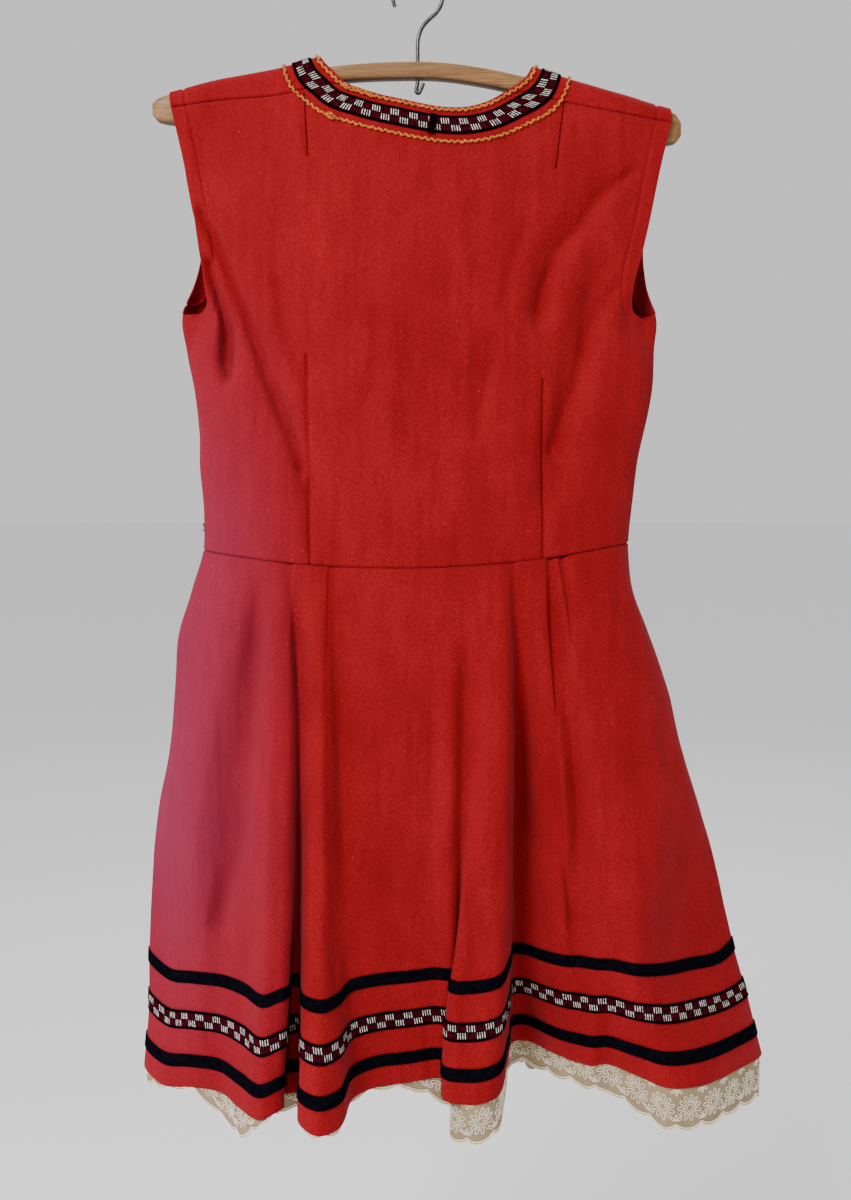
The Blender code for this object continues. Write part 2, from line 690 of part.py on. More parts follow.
def front_bodice():
    """Patches of the front bodice, columns round from right to left and rows upwards."""
    _, zone_right, zone_bottom, zone_left = neck_zone()
    strap_right = front_strap(zone_right, 1)
    strap_left = front_strap(zone_left, -1)
    top_right = strap_right[:, -1][:-1]
    top_left = strap_left[:, 0][::-1][1:]
    top = np.vstack((top_right, zone_bottom[0], top_left))
    side = np.array(SHOULDER_SHARES)
    neck_left, neck_right = FRONT_NECK_SHARES
    right_shares = list(1 + (neck_right - 1) * side[:-1])
    mid_shares = list(np.linspace(neck_right, neck_left, FRONT_NECK_CELLS + 1))
    left_shares = list(neck_left + (-1 - neck_left) * (1 - side[::-1][1:]))
    shares = right_shares + mid_shares + left_shares
    lower = lower_patch(shares, shares, -1)
    bottom = pattern_row(shares, -1)
    edges = []
    for place, at in ((1, 0), (-1, -1)):
        start = bottom[at][1]
        end = top[at][1]
        edges.append([front_edge(place, start + (end - start) * t) for t in FRONT_RISE])
    upper = lift_pattern(coons(bottom, top, np.array(edges[0]), np.array(edges[1]), FRONT_RISE))
    upper[0] = lower[-1]
    patches = [lower, upper]
    for rows in (zone_right, zone_bottom, zone_left, strap_right, strap_left):
        patches.append(lift_pattern(rows))
    return patches


def skirt_line(row, side):
    """A fold line of the skirt: its place at a share of its height, its length, its lace."""
    waist_x, mid_x, mid_depth, band_depth, hem_x, hem_depth, hem_z, lace = row
    half = (read_table(OUTLINE, WAIST_RIGHT)[1] - read_table(OUTLINE, WAIST_LEFT)[0]) / 2
    centre = (read_table(OUTLINE, WAIST_RIGHT)[1] + read_table(OUTLINE, WAIST_LEFT)[0]) / 2
    waist = lower_point((waist_x - centre) / half, 0.0, side)
    hem = np.array((hem_x, -side * hem_depth, hem_z))
    across = ((0.0, waist[0]), (MID_STATION, mid_x), (1.0, hem_x))
    depths = ((0.0, waist[1]), (MID_STATION, -side * mid_depth),
              (BAND_STATION, -side * band_depth), (1.0, hem[1]))

    def place(t):
        return np.array((read_table(across, t)[0], read_table(depths, t)[0],
                         waist[2] + (hem_z - waist[2]) * t))

    return place, np.linalg.norm(hem - waist), lace


def side_line(side):
    """The side seam of the skirt at a share of its height, from the outline."""
    top = WAIST_LEFT if side < 0 else WAIST_RIGHT
    hem_z, lace = SEAM_LEFT_HEM if side < 0 else SEAM_RIGHT_HEM
    column = 0 if side < 0 else 1

    def place(t):
        z = top + (hem_z - top) * t
        return np.array((read_table(OUTLINE, z)[column], 0.0, z))

    return place, abs(hem_z - top) / SIDE_RISE, lace


def skirt_lines():
    """Every fold line in order round the skirt, as a function, its length and its lace."""
    lines = []
    for side, table in ((1, BACK_SKIRT), (-1, FRONT_SKIRT)):
        lines.append(side_line(-side))
        for row in table:
            lines.append(skirt_line(row, side))
    return lines


def skirt_rings():
    """Rings of the skirt from the hem up to the waist, each closed on its first point."""
    lines = skirt_lines()
    top_height = HEM_HEIGHTS[-1]
    rings = []
    for height in HEM_HEIGHTS:
        rings.append([place(1 - height / length) for place, length, _ in lines])
    for k in range(1, UPPER_ROWS + 1):
        share = 1 - k / UPPER_ROWS
        rings.append([place(share * (1 - top_height / length)) for place, length, _ in lines])
    rings = [closed_curve(ring, WALLS_PER_FOLD) for ring in rings]
    return np.array([np.vstack((ring, ring[:1])) for ring in rings])


def skirt_parts(rings):
    """The back and the front half of the rings, both with their seam columns."""
    turn = (len(BACK_SKIRT) + 1) * WALLS_PER_FOLD
    return rings[:, :turn + 1], rings[:, turn:]


def key_of(point):
    return tuple(int(round(value * 1e7)) for value in point)


def cell_faces(a, b, c, d, points):
    """Two triangles of a cell, split along its shorter diagonal."""
    if np.linalg.norm(points[a] - points[c]) <= np.linalg.norm(points[b] - points[d]):
        return [(a, b, c), (a, c, d)]
    return [(a, b, d), (b, c, d)]


def weld(patches):
    """Shared points and outward triangles of some patches."""
    index = {}
    points = []
    faces = []
    for patch in patches:
        rows, columns = patch.shape[:2]
        numbers = np.zeros((rows, columns), dtype=int)
        for r in range(rows):
            for c in range(columns):
                key = key_of(patch[r, c])
                if key not in index:
                    index[key] = len(points)
                    points.append(patch[r, c])
                numbers[r, c] = index[key]
        for r in range(rows - 1):
            for c in range(columns - 1):
                cell = (numbers[r, c], numbers[r, c + 1],
                        numbers[r + 1, c + 1], numbers[r + 1, c])
                for face in cell_faces(*cell, points):
                    if len(set(face)) == 3:
                        faces.append(face)
    return np.array(points), faces, index


def normals_of(patches):
    """Outward directions of every welded point."""
    points, faces, index = weld(patches)
    normals = np.zeros_like(points)
    for a, b, c in faces:
        cross = np.cross(points[b] - points[a], points[c] - points[a])
        for k in (a, b, c):
            normals[k] += cross
    normals /= np.linalg.norm(normals, axis=1)[:, None]
    return {key: normals[k] for key, k in index.items()}


def material(name, colour):
    made = bpy.data.materials.new(name)
    made.use_nodes = True
    shader = made.node_tree.nodes["Principled BSDF"]
    red, green, blue, roughness, metallic = colour
    shader.inputs["Base Color"].default_value = (red, green, blue, 1.0)
    shader.inputs["Roughness"].default_value = roughness
    shader.inputs["Metallic"].default_value = metallic
    made.diffuse_color = (red, green, blue, 1.0)
    return made


def add_object(name, points, faces, colour):
    mesh = bpy.data.meshes.new(name)
    mesh.from_pydata([tuple(point) for point in points], [], faces)
    mesh.update()
    mesh.shade_smooth()
    mesh.set_sharp_from_angle(angle=SHARP)
    mesh.materials.append(material(name, colour))
    made = bpy.data.objects.new(name, mesh)
    bpy.context.scene.collection.objects.link(made)
    return made


def add_shell(name, patches, normals, inner, outer, colour, move=None):
    """A closed wall between two distances from the points of some patches."""
    points, faces, index = weld(patches)
    directions = np.array([normals[key_of(point)] for point in points])
    base = points if move is None else move(points, faces)
    count = len(points)
    body = list(faces)
    body += [(c + count, b + count, a + count) for a, b, c in faces]
    directed = set()
    for a, b, c in faces:
        directed.update(((a, b), (b, c), (c, a)))
    for a, b in sorted(directed):
        if (b, a) not in directed:
            body.append((b, a, a + count))
            body.append((b, a + count, b + count))
    everything = np.vstack((base + directions * outer, base + directions * inner))
    return add_object(name, everything, body, colour)


def seam_mover(own_index, other_keys):
    """Move the points on a seam with another panel back by half the seam's gap."""

    def move(points, faces):
        moved = points.copy()
        on_seam = [k for k, point in enumerate(points) if key_of(point) in other_keys]
        seam_set = set(on_seam)
        beside = {k: [] for k in on_seam}
        for face in faces:
            for a in face:
                if a in seam_set:
                    beside[a] += [points[b] for b in face if b not in seam_set]
        for k in on_seam:
            if not beside[k]:
                continue
            way = np.mean(beside[k], axis=0) - points[k]
            gap = SEAM_HALF_GAP
            low, high, extra = PLACKET
            x, _, z = points[k]
            if x < 0 and low < z < high:
                gap += extra * math.sin(math.pi * (z - low) / (high - low))
            moved[k] = points[k] + way / np.linalg.norm(way) * gap
        return own_index(moved, points)

    return move


def waist_shift(distance, waist_keys):
    """Move the waist row up or down, so that bodice and skirt stay apart."""

    def shift(moved, points):
        for k, point in enumerate(points):
            if key_of(point) in waist_keys:
                moved[k][2] += distance
        return moved

    return shift


def keys_in(patches):
    return {key_of(point) for patch in patches for point in patch.reshape(-1, 3)}


def lace_patch(rings, normals):
    """Points of the lace from behind the hem down, and their outward directions."""
    lines = skirt_lines()
    hem = rings[0]
    lines_on = np.arange(len(lines) + 1) * WALLS_PER_FOLD
    lace = [line[2] for line in lines]
    drops = np.interp(np.arange(len(hem)), lines_on, lace + lace[:1])
    row = hem.copy()
    row[:, 2] -= drops
    extra = dict(normals)
    for k, point in enumerate(row):
        extra[key_of(point)] = normals[key_of(hem[k])]
    return np.array([row, rings[0], rings[1]]), extra


def add_cloth():
    back = back_bodice()
    front = front_bodice()
    rings = skirt_rings()
    back_skirt, front_skirt = skirt_parts(rings)
    normals = normals_of(back + front)
    normals.update(normals_of([back_skirt, front_skirt]))
    panels = (
        ("back_bodice", back, front, back[0][0], WAIST_HALF_GAP),
        ("front_bodice", front, back, front[0][0], WAIST_HALF_GAP),
        ("back_skirt", [back_skirt], [front_skirt], back_skirt[-1], -WAIST_HALF_GAP),
        ("front_skirt", [front_skirt], [back_skirt], front_skirt[-1], -WAIST_HALF_GAP),
    )
    for name, own, other, waist, distance in panels:
        shift = waist_shift(distance, {key_of(point) for point in waist})
        move = seam_mover(shift, keys_in(other))
        add_shell(name, own, normals, -WOOL, 0.0, RED_WOOL, move)
    add_neck_trims(back, front, normals)
    add_hem_trims(rings, normals)


def add_neck_trims(back, front, normals):
    """Ribbon and braids round the neck, cut from the rows of the neck zone."""
    zones = [back[2]] + front[2:5]
    for name, band, colour in (("neck_braid_inner", BRAID_INNER, GOLD_BRAID),
                               ("neck_ribbon", RIBBON, WOVEN_RIBBON),
                               ("neck_braid_outer", BRAID_OUTER, GOLD_BRAID)):
        last = len(NECK_OFFSETS) - 1
        low = last - NECK_OFFSETS.index(band[1])
        high = last - NECK_OFFSETS.index(band[0])
        strips = [zone[low:high + 1] for zone in zones]
        add_shell(name, strips, normals, LIFT, LIFT + TRIM, colour)


def add_hem_trims(rings, normals):
    """Velvet ribbons, woven ribbon and lace round the hem."""
    for name, band, colour in (("hem_velvet_lower", VELVET_LOWER, VELVET),
                               ("hem_woven_band", WOVEN, WOVEN_RIBBON),
                               ("hem_velvet_upper", VELVET_UPPER, VELVET)):
        low = HEM_HEIGHTS.index(band[0])
        high = HEM_HEIGHTS.index(band[1])
        add_shell(name, [rings[low:high + 1]], normals, LIFT, LIFT + TRIM, colour)
    patch, directions = lace_patch(rings, normals)
    behind = -WOOL - LIFT
    add_shell("hem_lace", [patch], directions, behind - LACE, behind, LACE_THREAD)


def tube(name, path, radius, sides, colour):
    """A round wire along a path, with flat ends."""
    curve = bpy.data.curves.new(name, "CURVE")
    curve.dimensions = "3D"
    curve.bevel_depth = radius
    curve.bevel_resolution = sides
    curve.use_fill_caps = True
    spline = curve.splines.new("POLY")
    spline.points.add(len(path) - 1)
    for point, place in zip(spline.points, path):
        point.co = (*place, 1.0)
    curve.materials.append(material(name, colour))
    made = bpy.data.objects.new(name, curve)
    bpy.context.scene.collection.objects.link(made)
    return made


def add_side_hook():
    """The small wire hook that lies over the side opening."""
    x = read_table(OUTLINE, HOOK_Z)[0]
    half_height, half_width = HOOK_LOOP
    path = []
    start, end = HOOK_LOOP_SWEEP
    for k in range(HOOK_LOOP_STEPS + 1):
        angle = math.radians(start + (end - start) * k / HOOK_LOOP_STEPS)
        path.append((x - LIFT - HOOK_WIRE, half_width * math.cos(angle),
                     HOOK_Z + half_height * math.sin(angle)))
    tube("side_hook", path, HOOK_WIRE, 1, WIRE)


def bar_section(top, bottom, half):
    """A section of the bar with rounded corners, in (y, z)."""
    corner = min(BAR_CORNER, half * 0.9, (top - bottom) * 0.45)
    section = []
    for turn, (y_sign, z_sign) in enumerate(((1, 1), (-1, 1), (-1, -1), (1, -1))):
        centre_y = y_sign * (half - corner)
        centre_z = (top - corner) if z_sign > 0 else (bottom + corner)
        for step in range(BAR_CORNER_STEPS + 1):
            angle = math.radians(90 * turn + 90 * step / BAR_CORNER_STEPS)
            section.append((centre_y + corner * math.cos(angle), centre_z + corner * math.sin(angle)))
    return section


def add_bar():
    """The wooden bar, lofted through its sections, with a hole for the hook."""
    points = []
    faces = []
    sections = [bar_section(top, bottom, half) for _, top, bottom, half in BAR]
    around = len(sections[0])
    for (x, *_), section in zip(BAR, sections):
        points += [(x, y, z) for y, z in section]
    for k in range(len(BAR) - 1):
        for j in range(around):
            a = k * around + j
            b = k * around + (j + 1) % around
            faces.append((a, b, b + around, a + around))
    faces.append(tuple(range(around))[::-1])
    faces.append(tuple(range((len(BAR) - 1) * around, len(BAR) * around)))
    bar = add_object("hanger_bar", points, faces, WOOD)
    bpy.ops.mesh.primitive_cylinder_add(vertices=HOLE_SIDES, radius=HOOK_HOLE,
                                        depth=HOLE_LENGTH, location=(0.0, 0.0, HOLE_Z))
    cutter = bpy.context.object
    cutter.name = "hook_hole_cutter"
    cutter.hide_render = True
    cutter.display_type = "WIRE"
    cut = bar.modifiers.new("hook hole", "BOOLEAN")
    cut.operation = "DIFFERENCE"
    cut.solver = "EXACT"
    cut.object = cutter


def add_hook():
    """The wire hook: a bent foot under the bar, a stem and a round loop."""
    ring = HOOK_INSIDE + HOOK_RADIUS
    path = [(x, 0.0, z) for x, z in HOOK_FOOT]
    start, end = HOOK_SWEEP
    for k in range(HOOK_STEPS + 1):
        angle = math.radians(start + (end - start) * k / HOOK_STEPS)
        path.append((ring * math.cos(angle), 0.0, -HOOK_INSIDE + ring * math.sin(angle)))
    tube("hanger_hook", path, HOOK_RADIUS, 2, WIRE)


def main():
    for old in list(bpy.data.objects):
        bpy.data.objects.remove(old, do_unlink=True)
    add_cloth()
    add_side_hook()
    add_bar()
    add_hook()


main()
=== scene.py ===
"""The looks of a sleeveless red wool folk dress that hangs on a wooden hanger.

Metres, +Z up, the origin at the inside top of the hanger's hook. The back of the dress
faces -Y and the camera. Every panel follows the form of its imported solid, worked out
from the same named sizes, with finer folds, sewn lines, ribbons, braids and lace.
"""
import math

import bpy
import numpy as np
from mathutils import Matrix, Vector
from numpy.linalg import norm


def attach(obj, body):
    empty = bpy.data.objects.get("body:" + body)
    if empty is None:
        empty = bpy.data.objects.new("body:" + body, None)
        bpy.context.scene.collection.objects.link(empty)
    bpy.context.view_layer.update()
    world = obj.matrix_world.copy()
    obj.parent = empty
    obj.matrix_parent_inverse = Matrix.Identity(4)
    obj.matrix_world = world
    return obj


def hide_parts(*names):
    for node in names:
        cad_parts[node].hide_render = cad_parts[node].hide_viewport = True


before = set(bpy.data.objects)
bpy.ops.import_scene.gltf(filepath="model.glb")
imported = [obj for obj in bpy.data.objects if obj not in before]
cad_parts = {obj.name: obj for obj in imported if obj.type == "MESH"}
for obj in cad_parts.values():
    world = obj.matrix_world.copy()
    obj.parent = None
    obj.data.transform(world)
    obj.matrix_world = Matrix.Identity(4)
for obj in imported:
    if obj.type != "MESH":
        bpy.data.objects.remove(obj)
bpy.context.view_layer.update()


def mm(*rows):
    """A table written in millimetres, in metres."""
    return tuple(mm(*row) if isinstance(row, tuple) else round(row / 1000, 7) for row in rows)


# Walls: thickness of wool, trims and lace, how far trims lie off the wool, and how far a
# wall's rim stands out as a share of its thickness
WOOL_THICK = 0.0015
TRIM_THICK = 0.0008
LACE_THICK = 0.0004
LIFT = 0.0003
RIM = 0.45

# Edges of wire and wood are sharp above this angle; no length is divided by less than this
SHARP = math.radians(50)
TINY = 1e-12

# Shoulders: the cloth is wrapped over the hanger in an arc
WRAP = 0.011
QUARTER = math.pi * WRAP / 2
WRAP_FADE = 0.09

# Ends and middle of the shoulder seams: x and z, by side, left (-1) and right (1)
SEAM_TIP = {-1: (-0.203, -0.112), 1: (0.209, -0.124)}
SEAM_NECK = {-1: (-0.060, -0.0925), 1: (0.074, -0.099)}
SEAM_MID = {-1: (-0.105, -0.1005), 1: (0.112, -0.1055)}

# Heights where the bodice changes
UNDERARM = -0.279
WAIST = {-1: -0.477, 1: -0.471}
WAIST_DROP = 0.017

# The top of the shoulders: x, z
RIDGE = mm(
    (-222, -101), (-206, -97), (-167, -87.5), (-120, -78.5), (-80, -68), (0, -66), (93, -76),
    (130, -87.5), (176, -101), (208, -110), (224, -114.5))

# The outer outline, from the hem to the shoulder tips: z, left x, right x
OUTLINE = mm(
    (-929, -241, 305), (-882, -237, 293), (-828, -235, 277), (-756, -231, 260), (-703, -225, 245),
    (-650, -215, 228), (-598, -209, 215), (-546, -205, 197), (-512, -194, 184), (-476, -183, 179),
    (-443, -183, 182), (-409, -186, 185.5), (-376, -185.5, 192), (-342, -189, 198), (-309, -196, 200),
    (-279, -199, 201), (-270, -196.5, 198), (-257, -191, 194), (-240, -186, 192), (-215, -184, 192),
    (-190, -187, 196), (-150, -195, 203), (-110, -204, 209.5), (-90, -207, 210))

# The armhole edge of the back panel, from the underarm up: rise, left x, z, right x, z
BACK_ARMHOLE = (
    (0.00, -0.199, -0.279, 0.201, -0.279),
    (0.06, -0.189, -0.2735, 0.191, -0.275),
    (0.14, -0.182, -0.265, 0.184, -0.268),
    (0.26, -0.179, -0.250, 0.181, -0.254),
    (0.42, -0.182, -0.222, 0.186, -0.230),
    (0.62, -0.188, -0.186, 0.194, -0.194),
    (0.81, -0.195, -0.148, 0.201, -0.158),
    (1.00, -0.203, -0.112, 0.209, -0.124),
)

# The armhole edge where it crosses the ridge: x by side; the steps that find it in front
RIDGE_EDGE = {-1: -0.206, 1: 0.2095}
EDGE_STEPS = 3

# How far in from an armhole the columns bend to follow it, as a share of the width
EDGE_REACH = 0.45

# How full the bodice stands: z, back depth, front depth, depth at its edges, roundness
FULLNESS = (
    (-0.480, 0.038, 0.036, 0.000, 2.0),
    (-0.400, 0.036, 0.040, 0.000, 2.0),
    (-0.320, 0.036, 0.046, 0.000, 2.0),
    (-0.279, 0.035, 0.045, 0.000, 2.0),
    (-0.262, 0.034, 0.043, 0.006, 1.7),
    (-0.235, 0.033, 0.040, 0.012, 1.3),
    (-0.190, 0.030, 0.034, 0.012, 1.2),
    (-0.140, 0.026, 0.028, 0.012, 1.2),
    (-0.090, 0.022, 0.022, 0.012, 1.2),
)
SECTION_POWER = 2.6

# Soft folds and stitched darts of the back bodice: depth, half width, path of (x, z)
BACK_FOLDS = mm(
    (5.5, 10, ((-184, -136), (-160, -220), (-131, -306), (-90, -425))),
    (9, 9, ((-172, -203), (-164, -248), (-157, -290), (-158, -317))),
    (3.5, 9, ((-112, -260), (-103, -309), (-94, -330))),
    (7, 11, ((184, -143), (148, -185), (110, -233), (101, -279))),
    (9, 14, ((158, -242), (140, -284), (119, -369), (110, -425))),
    (3, 10, ((56, -311), (48, -371))),
    (1.6, 4, ((-91, -320), (-90, -480))),
    (1.6, 4, ((103, -340), (104, -480))),
    (1.2, 4, ((-93, -104), (-90, -150))),
    (1.2, 4, ((120, -111), (113, -163))),
)

# Soft folds and darts of the hidden front bodice
FRONT_FOLDS = mm(
    (5, 12, ((-178, -170), (-140, -240), (-105, -300))),
    (5, 12, ((186, -175), (150, -240), (118, -300))),
    (3, 12, ((-60, -320), (-48, -420))),
    (3, 12, ((40, -330), (56, -430))),
    (1.6, 4, ((-95, -330), (-90, -480))),
    (1.6, 4, ((98, -330), (96, -480))),
)

# Stitched dart lines: depth, half width, path of (x, z)
BACK_DARTS = mm(
    (2.1, 0.9, ((-91.5, -316), (-90.5, -400), (-89.5, -493))),
    (2.1, 0.9, ((103, -337), (103.5, -410), (104, -493))),
    (2.1, 0.9, ((-93, -100), (-92.2, -134), (-90, -153))),
    (2.1, 0.9, ((120.5, -106), (117, -142), (113, -164))),
)
FRONT_DARTS = mm(
    (2.1, 0.9, ((-95, -330), (-90.5, -493))),
    (2.1, 0.9, ((98, -330), (96, -493))),
)

# Sharper creases along the soft folds of the back bodice, same columns
BACK_SHARP_FOLDS = mm(
    (5.4, 4.4, ((-180.4, -196.8), (-164.6, -226), (-143, -279.2), (-122.2, -338.3), (-105.5, -378.2),
                (-95.6, -409.8))),
    (8.5, 5.2, ((-174, -240), (-168.5, -274.2), (-160.4, -295), (-158.7, -332.5))),
    (3.4, 4.8, ((176.6, -165.2), (149.9, -186), (134.1, -210.1), (117.5, -228.5), (104.2, -258.4),
                (99.2, -290))),
    (4.2, 6.2, ((165.7, -258.4), (147.4, -285), (136.6, -316.6), (130.8, -343.3), (120.8, -369.9),
                (112.5, -396.5))),
    (1.8, 4.5, ((63.4, -316.6), (54.2, -343.3), (50.1, -383.2))),
    (1.8, 4.5, ((85.9, -215.1), (75.1, -250.1), (70.1, -276.7))),
)

# The same for the front bodice
FRONT_SHARP_FOLDS = mm(
    (3, 4.5, ((-172, -205), (-150, -245), (-128, -290), (-110, -330))),
    (3.6, 5.5, ((166, -235), (146, -280), (128, -330), (112, -375))),
    (1.8, 4.5, ((-58, -310), (-50, -370), (-46, -410))),
    (1.8, 4.5, ((40, -320), (50, -380))),
)

# Main columns of the bodice: share of the half width at waist and chest, and place along
# the top, where 0 to 1 is the left shoulder, 1 to 2 the neck and 2 to 3 the right shoulder
BACK_COLUMNS = (
    (-1.0000, -1.0000, 0.000),
    (-0.9300, -0.9300, 0.110),
    (-0.8200, -0.8200, 0.290),
    (-0.7000, -0.6900, 0.520),
    (-0.5900, -0.5800, 0.760),
    (-0.4834, -0.4740, 1.000),
    (0.5200, 0.4300, 2.000),
    (0.5856, 0.4740, 2.145),
    (0.7000, 0.6400, 2.380),
    (0.8200, 0.7900, 2.660),
    (0.9300, 0.9300, 2.890),
    (1.0000, 1.0000, 3.000),
)

# The same for the front, seen from behind it, so that its left is the wearer's left
FRONT_COLUMNS = (
    (1.0000, 1.0000, 0.000),
    (0.9300, 0.9300, 0.120),
    (0.5410, 0.4900, 0.880),
    (0.4550, 0.4550, 1.000),
    (-0.4300, -0.4300, 2.000),
    (-0.4890, -0.4750, 2.120),
    (-0.9300, -0.9300, 2.880),
    (-1.0000, -1.0000, 3.000),
)

# Chest shares of the darts: first side, last side
BACK_DART_SHARES = (0.474, 0.474)
FRONT_DART_SHARES = (0.490, 0.475)

# Points closer than this are sewn into one
WELD = 2e-7

# Fine cells of the bodice: their size, its height below and above the underarm, half its
# width, the places of extra cells beside a sewn line and the least share of them kept free
CELL = 0.0027
BODICE_LOWER = 0.200
BODICE_UPPER = 0.170
CHEST_HALF = 0.200
BESIDE = (0.0007, 0.0014, 0.0024, 0.0038)
LEAST_GAP = 0.6

# Shares of the half width with columns beside a side seam, and how full the cloth is there
SIDE_SHARES = (0.0, 0.0003, 0.0011, 0.0025, 0.0045, 0.009, 0.018, 0.029, 0.039, 0.046, 0.050,
               0.054, 0.058, 0.062, 0.066, 0.070, 0.075, 0.082)
SIDE_FULL = 0.036

# Points on an armhole's path, its run down the front, and the step that finds directions
EDGE_POINTS = 40
FRONT_EDGE_RUN = 0.172
PATTERN_STEP = 0.0004

# The neck edge, round from the left shoulder seam: x, z (None on the ridge), side
NECK_EDGE = (
    (-0.060, -0.0925, 1), (-0.047, -0.0975, 1), (-0.033, -0.1020, 1), (-0.012, -0.1070, 1),
    (0.004, -0.1105, 1), (0.021, -0.1132, 1), (0.040, -0.1130, 1), (0.058, -0.1080, 1),
    (0.074, -0.0990, 1), (0.085, -0.0920, 1), (0.0918, -0.0845, 1), (0.0955, None, 0),
    (0.0935, -0.0890, -1), (0.0840, -0.1080, -1), (0.0670, -0.1300, -1), (0.0400, -0.1460, -1),
    (0.0060, -0.1520, -1), (-0.0280, -0.1460, -1), (-0.0550, -0.1270, -1), (-0.0710, -0.1020, -1),
    (-0.0790, -0.0800, -1), (-0.0810, None, 0), (-0.0780, -0.0745, 1), (-0.0690, -0.0840, 1),
)

# Rows of that table at the left seam, the right seam and the corners of the front, points
# from row to row, length of the front's lowest stretch and of the back's edge
NECK_MARKS = (0, 8, 14, 18)
NECK_SAMPLES = 40
NECK_BOTTOM = 0.1
BACK_NECK_LENGTH = 0.166

# Cloth round the neck: its width and rows, the reach over which its ways turn towards a
# shoulder seam, and the halvings and farthest start of the search for a distance
ZONE = 0.0315
ZONE_ROWS = 14
SEAM_BLEND = 0.030
BISECTIONS = 24
FARTHEST = 2.5

# Trims round the neck, measured out from its edge, and the pattern place of the ribbon's join
BRAID_INNER = 0.0028
RIBBON = (0.0080, 0.0230)
BRAID_OUTER = 0.0300
NECK_JOIN = (0.0130, 0.0590)

# Ribbons above the hem: name, slot, heights of their edges above it
HEM_BANDS = (
    ("hem_velvet_lower", "black_velvet", 0.017, 0.027),
    ("hem_woven_band", "woven_ribbon", 0.0485, 0.0635),
    ("hem_velvet_upper", "black_velvet", 0.087, 0.097),
)
BAND_TOP = 0.097
BAND_ROWS = 8

# The skirt: shares of the way down to its middle and to the upper ribbon, how much higher
# the ribbons lie at the side seams, points from fold line to fold line, size of its cells
# and height above the ribbons
MID_STATION = 0.445
BAND_STATION = 0.80
SIDE_RISE = 1.075
FOLD_SAMPLES = 8
SKIRT_CELL = 0.0030
SKIRT_UPPER = 0.350

# Fold lines of the back skirt, from the left side to the right: waist x, mid x, mid depth,
# depth at the upper ribbon, hem x, hem depth, hem z, lace below the hem
BACK_SKIRT = mm(
    (-162, -204, 26, 18, -218, 35, -933, 4),
    (-143, -181, 42, 41, -192, 50, -928, 4),
    (-128, -154, 40, 50, -167, 58, -928, 24),
    (-121, -136, 54, 62, -147, 82, -930, 28),
    (-113, -120, 66, 87, -126, 104, -930, 6),
    (-106, -107, 62, 84, -113, 98, -925, 4),
    (-103, -103, 38, 52, -112, 62, -927, 18),
    (-98, -98, 38, 53, -98, 66, -925, 18),
    (-89, -89, 60, 82, -94, 108, -932, 5),
    (-80, -78, 66, 87, -78, 122, -934, 4),
    (-74, -71, 60, 75, -62, 112, -933, 4),
    (-70, -62, 50, 62, -53, 72, -928, 4),
    (-56, -41, 52, 57, -36, 58, -925, 4),
    (-15, -8, 54, 51, -7, 50, -924, 8),
    (18, 18, 52, 50, 19, 46, -921, 24),
    (37, 37, 46, 45, 33, 43, -923, 32),
    (47, 43, 52, 63, 25, 71, -927, 36),
    (62, 58, 60, 65, 46, 84, -927, 36),
    (73, 72, 58, 62, 66, 78, -923, 34),
    (78, 79, 48, 44, 76, 40, -914, 26),
    (81, 82, 20, 12, 84, -5, -913, 22),
    (86, 88, 18, 13, 95, -8, -913, 23),
    (96, 105, 36, 28, 115, 10, -915, 23),
    (104, 120, 46, 35, 127, 21, -916, 22),
    (109, 133, 38, 34, 137, 27, -917, 22),
    (115, 147, 50, 43, 149, 36, -916, 24),
    (124, 160, 52, 47, 161, 35, -915, 27),
    (133, 180, 50, 53, 182, 50, -917, 33),
    (149, 204, 40, 42, 206, 68, -920, 38),
    (159, 217, 30, 26, 236, 62, -921, 38),
    (167, 229, 18, 12, 275, 34, -919, 38),
)

# Fold lines of the hidden front skirt, from the right side to the left, same columns
FRONT_SKIRT = mm(
    (167, 230, 20, 22, 286, 30, -920, 36),
    (155, 213, 38, 46, 258, 56, -921, 37),
    (142, 191, 40, 45, 224, 50, -919, 36),
    (127, 167, 50, 61, 190, 72, -922, 37),
    (112, 142, 58, 74, 160, 88, -924, 37),
    (96, 117, 52, 62, 131, 70, -922, 36),
    (83, 98, 34, 37, 110, 36, -919, 34),
    (68, 82, 52, 65, 92, 78, -925, 36),
    (48, 60, 62, 78, 68, 94, -927, 37),
    (26, 36, 54, 60, 44, 66, -924, 36),
    (2, 8, 48, 49, 14, 50, -922, 36),
    (-24, -20, 52, 56, -14, 60, -924, 36),
    (-46, -44, 62, 76, -40, 90, -928, 37),
    (-66, -68, 56, 67, -64, 78, -928, 36),
    (-82, -88, 35, 39, -86, 42, -924, 34),
    (-96, -106, 54, 68, -104, 82, -928, 36),
    (-112, -126, 56, 70, -128, 84, -929, 37),
    (-127, -147, 40, 45, -154, 50, -925, 34),
    (-144, -173, 46, 54, -184, 64, -928, 36),
    (-163, -202, 26, 30, -216, 34, -931, 34),
)

# Hem z and lace below it at the side seams, by side
SEAM_HEM = {-1: (-0.929, 0.018), 1: (-0.920, 0.038)}

